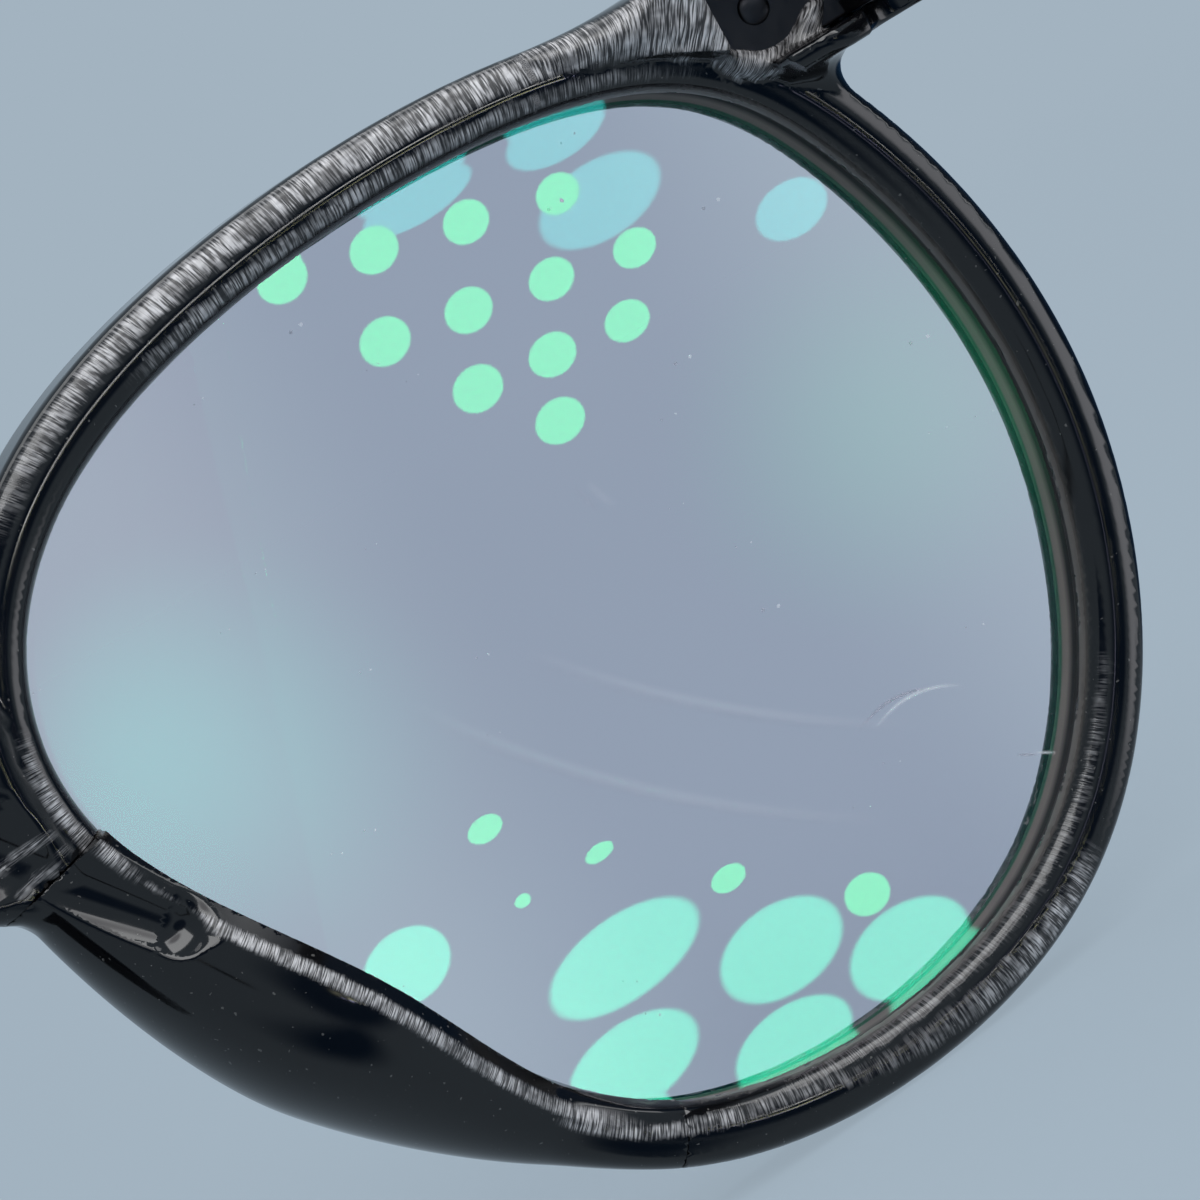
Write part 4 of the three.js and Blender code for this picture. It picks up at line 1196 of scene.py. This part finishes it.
class EYEGLASSES_OT_hinge_leaves(bpy.types.Operator):
    """Make the front and temple leaves of both hinges"""
    bl_idname = "eyeglasses.hinge_leaves"
    bl_label = "Hinge Leaves"

    def execute(self, context):
        material = nickel_material()
        front = leaf_mesh("front_leaf", front_plate(), material, first=0, count=3)
        temple = leaf_mesh("temple_leaf", temple_plate(), material, first=1, count=2)
        for side, sign in SIDES.items():
            piece = hinge_piece(f"rolled_front_leaf_{side}", front, sign)
            fitted(piece, "front", "nickel_silver", f"front_hinge_leaf_{side}")
            piece = hinge_piece(f"rolled_temple_leaf_{side}", temple, sign)
            fitted(piece, f"{side}_temple", "nickel_silver", f"temple_hinge_leaf_{side}")
        return {"FINISHED"}


def screw_form(x, y, z):
    """Cheese-head screw with a slot, about its own axis."""
    head_gap, head_height, head_radius, head_round = 0.3, 0.7, 1.2, 0.16
    end_round, neck_half, slot_half, slot_depth, slot_round = 0.2, 0.35, 0.175, 0.38, 0.04
    from_axis = np.hypot(x, y)
    seat = HINGE_HALF_HEIGHT + head_gap
    top = seat + head_height
    head = rounded_cut(from_axis - head_radius, np.abs(z - (seat + top) / 2) - (top - seat) / 2, head_round)
    shank = rounded_cut(from_axis - SCREW_RADIUS, np.abs(z) - HINGE_HALF_HEIGHT, end_round)
    shank = np.minimum(shank, np.maximum(from_axis - SCREW_RADIUS, np.abs(z - seat) - neck_half))
    slot = np.maximum(np.abs(y) - slot_half, top - slot_depth - z)
    return rounded_cut(np.minimum(head, shank), -slot, slot_round)


def pair_tree():
    """The same piece at both ends of a line."""
    tree, given, identifiers = new_tree("Pair of screws", {
        "Geometry": "NodeSocketGeometry", "First": "NodeSocketVector", "Second": "NodeSocketVector",
        "Turn": "NodeSocketRotation", "Material": "NodeSocketMaterial"})
    ends = add_node(tree, "GeometryNodeMeshLine", {
        "Count": 2, "Start Location": given["First"], "Offset": given["Second"]}, mode="END_POINTS")
    pair = add_node(tree, "GeometryNodeInstanceOnPoints", {
        "Points": ends, "Instance": given["Geometry"], "Rotation": given["Turn"]})
    end_tree(tree, pair, given["Material"])
    return tree, identifiers


class EYEGLASSES_OT_screws(bpy.types.Operator):
    """Make the two hinge screws"""
    bl_idname = "eyeglasses.screws"
    bl_label = "Hinge Screws"

    def execute(self, context):
        places, faces = contoured(screw_form, *SCREW_ROOM, SCREW_CELL)
        mesh = bpy.data.meshes.new("screw")
        mesh.from_pydata((places * MM).tolist(), [], faces.tolist())
        mesh.shade_smooth()
        mesh.normals_split_custom_set(corner_normals(screw_form, places, faces).tolist())
        tree, identifiers = pair_tree()
        first, second = (hinge_place(sign).translation for sign in SIDES.values())
        pair = grown("screw_source", mesh, tree, identifiers, {
            "First": first, "Second": second, "Turn": (TILT, 0, 0), "Material": steel_material()})
        piece = linked("slotted_screws", pair)
        fitted(piece, "front", "steel", "hinge_screw_left", "hinge_screw_right")
        return {"FINISHED"}


def spine(distance):
    """Middle line of the temple some way from the hinge: back, up, and its downward turn."""
    drop = math.radians(TEMPLE_DROP)
    arc = HOOK_RADIUS * math.radians(HOOK_ANGLE)
    straight = np.minimum(distance, TEMPLE_BEND)
    turn = drop + np.clip(distance - TEMPLE_BEND, 0, arc) / HOOK_RADIUS
    past = np.maximum(distance - TEMPLE_BEND - arc, 0)
    back = straight * math.cos(drop) + HOOK_RADIUS * (np.sin(turn) - math.sin(drop)) + past * np.cos(turn)
    down = straight * math.sin(drop) + HOOK_RADIUS * (math.cos(drop) - np.cos(turn)) + past * np.sin(turn)
    return back, -down, turn


def temple_rail(sizes):
    """Line of stations along the temple, each with the size and lean of its section."""
    start, before_bend, straight_count = 3, 6, 40
    after_bend, hook_count, end_step = 4, 48, 6
    widening_share = 0.8
    tip = sizes.tip_height / MM / 2
    ends = np.radians(np.arange(0, 90, end_step))
    distance = np.concatenate([
        [BUTT_GAP], np.linspace(start, TEMPLE_BEND - before_bend, straight_count),
        np.linspace(TEMPLE_BEND - after_bend, TEMPLE_LENGTH - tip, hook_count)[:-1],
        TEMPLE_LENGTH - tip * (1 - np.sin(ends))])
    back, up, turn = spine(distance)
    widening = eased((distance - TEMPLE_BEND) / (TEMPLE_LENGTH - TEMPLE_BEND) / widening_share)
    straight = np.clip(distance / TEMPLE_BEND, 0, 1)
    first, neck = sizes.temple_height / MM, sizes.temple_neck / MM
    height = first + (neck - first) * straight + (2 * tip - neck) * widening
    height[-len(ends):] *= np.cos(ends)
    share = distance / TEMPLE_LENGTH
    thickness = (sizes.temple_thickness + (sizes.tip_thickness - sizes.temple_thickness) * share) / MM
    rise = np.stack([np.zeros_like(turn), np.sin(turn), np.cos(turn)], -1)
    rise[0] = (0, 0, 1)
    places = np.stack([TEMPLE_OUTER - thickness / 2, back, up], -1) * MM
    mesh = bpy.data.meshes.new("temple_rail")
    mesh.from_pydata(places.tolist(), [(at, at + 1) for at in range(len(places) - 1)], [])
    add_values(mesh, {
        "place": places, "rise": rise, "half_width": thickness / 2 * MM, "half_height": height / 2 * MM})
    return mesh


CORNER_POINTS = 7
MOST_ROUNDING = 0.95


def temple_tree():
    """A rounded bar swept along a rail, with a pocket cut for its hinge.

    Each point of the section keeps the turn of its corner and its own angle on the corner's rounding. On the
    bar they place it in the section of its station.
    """
    tree, given, identifiers = new_tree("Swept temple", {
        "Geometry": "NodeSocketGeometry", "Rounding": "NodeSocketFloat", "Pocket": "NodeSocketObject",
        "Material": "NodeSocketMaterial"})
    fields = {"index": add_node(tree, "GeometryNodeInputIndex"), "limit": given["Rounding"]}
    for label in ("kept_corner", "kept_angle", "half_width", "half_height", "place", "rise"):
        kind = "FLOAT_VECTOR" if label in ("place", "rise") else "FLOAT"
        fields[label] = add_node(tree, "GeometryNodeInputNamedAttribute", {"Name": label}, data_type=kind)
    quarter = math.pi / 2
    sums = [
        ("corner", "DIVIDE", "index", CORNER_POINTS), ("corner", "FLOOR", "corner"),
        ("corner", "MULTIPLY", "corner", quarter), ("step", "MODULO", "index", CORNER_POINTS),
        ("step", "DIVIDE", "step", CORNER_POINTS - 1), ("angle", "MULTIPLY_ADD", "step", quarter, "corner"),
        ("diagonal", "ADD", "kept_corner", quarter / 2), ("most", "MULTIPLY", "half_height", MOST_ROUNDING),
        ("rounding", "MINIMUM", "limit", "most"),
    ]
    for offset, half, wave in (("out", "half_width", "COSINE"), ("up", "half_height", "SINE")):
        sums += [
            ("way", wave, "diagonal"), ("way", "SIGN", "way"), ("flat", "SUBTRACT", half, "rounding"),
            ("flat", "MULTIPLY", "way", "flat"), ("bow", wave, "kept_angle"),
            (offset, "MULTIPLY_ADD", "bow", "rounding", "flat"),
        ]
    for label, operation, *terms in sums:
        inputs = {number: fields.get(term, term) for number, term in enumerate(terms)}
        fields[label] = add_node(tree, "ShaderNodeMath", inputs, operation=operation)
    rail = add_node(tree, "GeometryNodeMeshToCurve", {"Mesh": given["Geometry"]})
    section = add_node(tree, "GeometryNodeCurvePrimitiveCircle", {
        "Resolution": 4 * CORNER_POINTS, "Radius": MM})
    for label in ("corner", "angle"):
        section = add_node(tree, "GeometryNodeStoreNamedAttribute", {
            "Geometry": section, "Name": f"kept_{label}", "Value": fields[label]}, domain="POINT")
    bar = add_node(tree, "GeometryNodeCurveToMesh", {
        "Curve": rail, "Profile Curve": section, "Fill Caps": True})
    out = add_node(tree, "ShaderNodeCombineXYZ", {"X": fields["out"]})
    up = add_node(tree, "ShaderNodeVectorMath", {0: fields["rise"], "Scale": fields["up"]}, operation="SCALE")
    place = add_node(tree, "ShaderNodeVectorMath", {0: fields["place"], 1: out}, operation="ADD")
    place = add_node(tree, "ShaderNodeVectorMath", {0: place, 1: up}, operation="ADD")
    bar = add_node(tree, "GeometryNodeSetPosition", {"Geometry": bar, "Position": place})
    pocket = add_node(tree, "GeometryNodeObjectInfo", {"Object": given["Pocket"]})
    cut = add_node(tree, "GeometryNodeMeshBoolean", {
        "Mesh 1": bar, "Mesh 2": pocket.outputs["Geometry"]}, operation="DIFFERENCE", solver="EXACT")
    end_tree(tree, cut, given["Material"])
    return tree, identifiers


def temple_pocket():
    """Room for the temple leaf and for the knuckles that turn beside it."""
    fit, inner, start, bevel = 0.1, -3, -1, 0.3
    tool = bmesh.new()
    slab(tool, (inner, start, -HINGE_HALF_HEIGHT - fit),
         (HINGE_INSET + LEAF_THICKNESS + fit, TEMPLE_LEAF_LENGTH + fit, HINGE_HALF_HEIGHT + fit), bevel)
    dropped(tool)
    return linked("temple_pocket", mesh_from(tool, "temple_pocket"))


class EYEGLASSES_OT_temples(bpy.types.Operator):
    """Make the two temples and finish the cores inside them"""
    bl_idname = "eyeglasses.temples"
    bl_label = "Temples"

    def execute(self, context):
        sizes = context.scene.eyeglasses_temple
        pocket = temple_pocket()
        tree, identifiers = temple_tree()
        mesh = grown("temple_source", temple_rail(sizes), tree, identifiers, {
            "Rounding": sizes.rounding, "Pocket": pocket,
            "Material": acetate_material(context.scene.eyeglasses_finish)})
        bpy.data.objects.remove(pocket)
        for side, sign in SIDES.items():
            piece = hinge_piece(f"swept_temple_{side}", mesh, sign)
            fitted(piece, f"{side}_temple", "black_plastic", f"temple_{side}")
            core = frame["nodes"][f"temple_core_{side}"]
            core.data.materials.clear()
            core.data.materials.append(steel_material())
        return {"FINISHED"}


# Stage

# Half the table's width in metres, the strength of the room's light on the glasses, and the share of the
# table's own even colour near them, with the distances in metres over which it grows to all of it.
TABLE_HALF = 3
ROOM_LIGHT = 0.35
EVEN_SHARE, EVEN_START, EVEN_END = 0.82, 0.1, 0.45
# Soft lamps: place and aim in metres, width and height, and watts
LAMPS = {
    "softbox": ((-0.05, 0.38, 0.62), (-0.02, -0.06, 0.03), (0.8, 0.5), 5.6),
    "overhead": ((0, -0.25, 0.7), (0, -0.06, 0.03), (1.0, 0.2), 1.3),
    "side": ((-0.75, 0.1, 0.25), (-0.03, -0.06, 0.03), (0.5, 0.5), 2),
}


def seen_share(tree):
    """1 for a ray from the camera, a mirror or clear resin."""
    light = add_node(tree, "ShaderNodeLightPath").outputs
    seen = light["Is Camera Ray"]
    for kind in ("Is Glossy Ray", "Is Transmission Ray"):
        seen = add_node(tree, "ShaderNodeMath", {0: seen, 1: light[kind]}, operation="MAXIMUM")
    return seen


def backdrop_material(finish):
    """Matt pale table, seen mostly in its own even colour, that still takes the shadow of the glasses.

    Mirrored rays pass it and see the room behind it, which has the same colour.
    """
    material, tree = new_material("Matt pale table")
    matt = add_node(tree, "ShaderNodeBsdfDiffuse", {"Color": (*finish.backdrop, 1)})
    even = add_node(tree, "ShaderNodeEmission", {"Color": (*finish.backdrop, 1), "Strength": 1.0})
    place = add_node(tree, "ShaderNodeTexCoord").outputs["Object"]
    far = add_node(tree, "ShaderNodeVectorMath", {0: place}, operation="LENGTH")
    evenness = add_node(tree, "ShaderNodeMapRange", {
        "Value": far, "From Min": EVEN_START, "From Max": EVEN_END, "To Min": EVEN_SHARE, "To Max": 1.0})
    share = add_node(tree, "ShaderNodeMath", {0: seen_share(tree), 1: evenness}, operation="MULTIPLY")
    table = add_node(tree, "ShaderNodeMixShader", {"Fac": share, 1: matt, 2: even})
    light = add_node(tree, "ShaderNodeLightPath").outputs
    mirrored_ray = add_node(tree, "ShaderNodeMath", {
        0: light["Is Glossy Ray"], 1: light["Is Reflection Ray"]}, operation="MULTIPLY")
    passed = add_node(tree, "ShaderNodeBsdfTransparent")
    mix = add_node(tree, "ShaderNodeMixShader", {"Fac": mirrored_ray, 1: table, 2: passed})
    add_node(tree, "ShaderNodeOutputMaterial", {"Surface": mix})
    return material


def add_lamp(name, place, aim, size, power):
    """Rectangular soft lamp that looks at a place."""
    data = bpy.data.lights.new(name, "AREA")
    data.shape = "RECTANGLE"
    data.size, data.size_y = size
    data.energy = power
    lamp = linked(name, data)
    lamp.location = place
    lamp.rotation_euler = (Vector(aim) - Vector(place)).to_track_quat("-Z", "Y").to_euler()


# The camera stands behind the glasses and looks at the right lens, turned so that the lens leans over.
VIEW_YAW = 17
VIEW_PITCH = 8
VIEW_ROLL = 31
VIEW_DISTANCE = 160
VIEW_LENS = 104.5
VIEW_TARGET = (3.2, 0.85)


def add_camera():
    """Camera at the angle of the picture, set in the right lens's own leaning frame; gives its place."""
    lean, yaw, pitch, roll = (math.radians(angle) for angle in (FACE_FORM, VIEW_YAW, VIEW_PITCH, VIEW_ROLL))
    back = Vector((-math.sin(yaw) * math.cos(pitch), math.sin(pitch), math.cos(yaw) * math.cos(pitch)))
    right = Vector((0, 1, 0)).cross(back).normalized()
    up = back.cross(right)
    turned = (right * math.cos(roll) - up * math.sin(roll), right * math.sin(roll) + up * math.cos(roll))
    # Columns: towards the temple, up and back, for the lens on the wearer's right.
    own = Matrix((
        (-math.cos(lean), 0, math.sin(lean)),
        (math.sin(lean), 0, math.cos(lean)),
        (0, 1, 0),
    ))
    stand = Matrix(STAND.tolist())
    target = own @ (Vector((*VIEW_TARGET, 0)) + back * VIEW_DISTANCE) + Vector((-LENS_CENTRE, 0, 0))
    place = Vector(standing(np.array(target))) * MM
    data = bpy.data.cameras.new("camera")
    data.lens = VIEW_LENS
    camera = linked("camera", data)
    axes = Matrix([stand @ own @ axis for axis in (*turned, back)])
    camera.matrix_world = Matrix.Translation(place) @ axes.transposed().to_4x4()
    bpy.context.scene.camera = camera
    return place


# Lights of the room that the right lens mirrors to the camera: the light of each kind, the share of it that
# fades out and its distance from the lens in metres.
LIGHTS = {
    "bulb": ((13.4, 13.4, 7.1), 0.12, 0.35),
    "broad": ((11.9, 11.9, 11.9), 0.12, 0.35),
    "sky": ((6.7, 6.7, 11.3), 0.13, 0.35),
    "haze": ((1.7, 1.7, 1.2), 1.0, 0.35),
    "near": ((3.6, 3.6, 4.9), 1.0, 0.1),
}
# Where each is seen, beside and above the lens centre, and its half length and half height there, in mm.
GLOWS = (
    ("broad", -6.0, -12.7, 4.3, 1.95), ("broad", 0.3, -16.5, 3.4, 2.1), ("broad", 5.3, -19.8, 3.3, 2.1),
    ("broad", -8.4, -16.8, 3.7, 1.95), ("broad", -1.7, -20.3, 3.3, 1.8), ("broad", -14.6, -7.4, 2.3, 1.7),
    ("sky", 3.4, 20.8, 3.0, 1.0), ("sky", 10.4, 20.2, 2.7, 1.3), ("sky", 10.8, 16.6, 3.3, 1.85),
    ("sky", 18.4, 11.7, 1.9, 1.35), ("near", -19.6, 6.0, 12.0, 11.0), ("haze", 17.0, 1.0, 12.0, 11.0),
    ("bulb", -8.2, -4.4, 0.95, 0.6), ("bulb", -4.3, -8.2, 0.8, 0.4), ("bulb", -8.5, -8.0, 0.45, 0.3),
    ("bulb", 0.1, -12.5, 0.95, 0.6), ("bulb", 5.1, -16.7, 1.2, 1.0),
)
# Larger parts of the room, seen in the polished plastic: direction from the lens, to the wearer's right of
# straight back and up, half width and half height, all in degrees, the share that fades out, and the light.
DARK_END, WINDOW, CEILING = (0.02, 0.06, 0.13), (2.2, 2.25, 2.4), (2.0, 2.0, 2.1)
ROOM = (
    (5, -10, 30, 22, 0.5, DARK_END),
    (47, -8, 14, 34, 0.6, WINDOW),
    (8, 38, 30, 9, 0.6, CEILING),
    (102, 12, 42, 38, 0.2, DARK_END),
    (-24, 21, 20, 13, 0.3, DARK_END),
    (-32, -32, 38, 18, 0.7, DARK_END),
)
ROOM_REACH = 0.6


def lamp_grid():
    """Small bulbs of the ceiling lamp, in four shortening rows that draw together, as in GLOWS."""
    first_side, first_up, first_length, first_height = -3.65, 21.0, 1.3, 1.15
    for row, count in enumerate((4, 4, 3, 1)):
        column_step, column_fall = 4.3 - 0.27 * row, 1.05 - 0.28 * row
        row_step, row_fall = 2.85 - 0.05 * row, 5.1 - 0.38 * row
        for column in range(count):
            side = first_side + column_step * column + row_step * row
            up = first_up - column_fall * column - row_fall * row
            yield "bulb", side, up, first_length - 0.06 * column, first_height - 0.07 * column - 0.03 * row


def room_place(azimuth, elevation):
    """Place in the room in a direction from the right lens."""
    azimuth, elevation = math.radians(azimuth), math.radians(elevation)
    along = Vector((-math.sin(azimuth) * math.cos(elevation), math.cos(azimuth) * math.cos(elevation),
                    math.sin(elevation)))
    return Vector(standing(np.array([-LENS_CENTRE, LENS_SET, 0]))) * MM + along * ROOM_REACH


def mirrored_place(eye, side, up, distance):
    """Place in the room that the camera sees mirrored at a place on the back of the right lens."""
    reach = 0.01
    out = LENS_CENTRE + side
    place = Vector(standing(np.array([-out, LENS_SET + LENS_THICKNESS / 2 + sag(out, up), up]))) * MM
    lean_side = (sag(out + reach, up) - sag(out - reach, up)) / (2 * reach)
    lean_up = (sag(out, up + reach) - sag(out, up - reach)) / (2 * reach)
    normal = Vector(STAND @ np.array([lean_side, 1, -lean_up])).normalized()
    return place + (place - eye).normalized().reflect(normal) * distance


def glow_material():
    """Light of the lamps and windows in the room, which fades out at their rims."""
    material, tree = new_material("Room light")
    place, light, soft = (
        add_node(tree, "ShaderNodeAttribute", attribute_name=label).outputs
        for label in ("place", "light", "soft"))
    far = add_node(tree, "ShaderNodeVectorMath", {0: place["Vector"]}, operation="LENGTH")
    full = add_node(tree, "ShaderNodeMath", {0: 1.0, 1: soft["Fac"]}, operation="SUBTRACT")
    path = add_node(tree, "ShaderNodeLightPath").outputs
    shown = add_node(tree, "ShaderNodeMapRange", {
        "Value": far, "From Min": full, "From Max": 1.0, "To Min": path["Is Reflection Ray"], "To Max": 0.0},
        interpolation_type="SMOOTHSTEP")
    glow = add_node(tree, "ShaderNodeEmission", {"Color": light["Vector"]})
    passed = add_node(tree, "ShaderNodeBsdfTransparent")
    mix = add_node(tree, "ShaderNodeMixShader", {"Fac": shown, 1: passed, 2: glow})
    add_node(tree, "ShaderNodeOutputMaterial", {"Surface": mix})
    material.cycles.emission_sampling = "NONE"
    return material


def add_glows(eye):
    """Cards of light that only mirrors show, and the dark end of the room behind the camera."""
    corners = ((-1, -1), (1, -1), (1, 1), (-1, 1))
    places, lights = [], []
    for kind, side, up, length, height in (*lamp_grid(), *GLOWS):
        colour, fading, distance = LIGHTS[kind]
        middle = mirrored_place(eye, side, up, distance)
        across = (mirrored_place(eye, side + 1, up, distance) - middle) * length
        rise = (mirrored_place(eye, side, up + 1, distance) - middle) * height
        places += [middle + x * across + y * rise for x, y in corners]
        lights.append((colour, fading))
    for azimuth, elevation, width, height, fading, colour in ROOM:
        places += [room_place(azimuth + x * width, elevation + y * height) for x, y in corners]
        lights.append((colour, fading))
    mesh = bpy.data.meshes.new("room_lights")
    mesh.from_pydata(places, [], np.arange(len(places)).reshape(len(lights), -1).tolist())
    add_values(mesh, {
        "place": [(*corner, 0) for _ in lights for corner in corners],
        "light": [colour for colour, _ in lights for _ in corners],
        "soft": [fading for _, fading in lights for _ in corners]})
    mesh.materials.append(glow_material())
    glows = linked("room_lights", mesh)
    for unseen in ("visible_camera", "visible_diffuse", "visible_transmission", "visible_shadow"):
        setattr(glows, unseen, False)


class EYEGLASSES_OT_stage(bpy.types.Operator):
    """Make the floor, the light and the camera"""
    bl_idname = "eyeglasses.stage"
    bl_label = "Stage"

    def execute(self, context):
        scene = context.scene
        finish = scene.eyeglasses_finish
        mesh = bpy.data.meshes.new("table")
        half = TABLE_HALF
        mesh.from_pydata([(-half, -half, 0), (half, -half, 0), (half, half, 0), (-half, half, 0)], [],
                         [(0, 1, 2, 3)])
        mesh.materials.append(backdrop_material(finish))
        table = linked("table", mesh)
        world = bpy.data.worlds.new("Pale studio")
        scene.world = world
        world.use_nodes = True
        tree = world.node_tree
        tree.nodes.clear()
        room, seen = (
            add_node(tree, "ShaderNodeBackground", {"Color": (*finish.backdrop, 1), "Strength": strength})
            for strength in (ROOM_LIGHT, 1.0))
        mix = add_node(tree, "ShaderNodeMixShader", {"Fac": seen_share(tree), 1: room, 2: seen})
        add_node(tree, "ShaderNodeOutputWorld", {"Surface": mix})
        for name, settings in LAMPS.items():
            add_lamp(name, *settings)
        add_glows(add_camera())
        scene.view_settings.view_transform = "Standard"
        return {"FINISHED"}


class EYEGLASSES_PT_panel(bpy.types.Panel):
    """Lists the sizes, the finishes and the steps that build the eyeglasses"""
    bl_label = "Round Eyeglasses"
    bl_idname = "EYEGLASSES_PT_panel"
    bl_space_type = "VIEW_3D"
    bl_region_type = "UI"
    bl_category = "Eyeglasses"

    def draw(self, context):
        scene = context.scene
        for settings in (scene.eyeglasses_front, scene.eyeglasses_temple, scene.eyeglasses_finish):
            box = self.layout.box()
            for name in settings.__annotations__:
                box.prop(settings, name)
        for operator in OPERATORS:
            self.layout.operator(operator.bl_idname)


OPERATORS = (
    EYEGLASSES_OT_front,
    EYEGLASSES_OT_nose_pads,
    EYEGLASSES_OT_lenses,
    EYEGLASSES_OT_hinge_leaves,
    EYEGLASSES_OT_screws,
    EYEGLASSES_OT_temples,
    EYEGLASSES_OT_stage,
)
CLASSES = (FrontSizes, TempleSizes, Finishes, *OPERATORS, EYEGLASSES_PT_panel)


def register():
    for kind in CLASSES:
        bpy.utils.register_class(kind)
    bpy.types.Scene.eyeglasses_front = PointerProperty(type=FrontSizes)
    bpy.types.Scene.eyeglasses_temple = PointerProperty(type=TempleSizes)
    bpy.types.Scene.eyeglasses_finish = PointerProperty(type=Finishes)


def unregister():
    del bpy.types.Scene.eyeglasses_finish
    del bpy.types.Scene.eyeglasses_temple
    del bpy.types.Scene.eyeglasses_front
    for kind in reversed(CLASSES):
        bpy.utils.unregister_class(kind)


def main():
    register()
    bpy.ops.eyeglasses.front()
    bpy.ops.eyeglasses.nose_pads()
    bpy.ops.eyeglasses.lenses()
    bpy.ops.eyeglasses.hinge_leaves()
    bpy.ops.eyeglasses.screws()
    bpy.ops.eyeglasses.temples()
    bpy.ops.eyeglasses.stage()


if __name__ == "__main__":
    main()
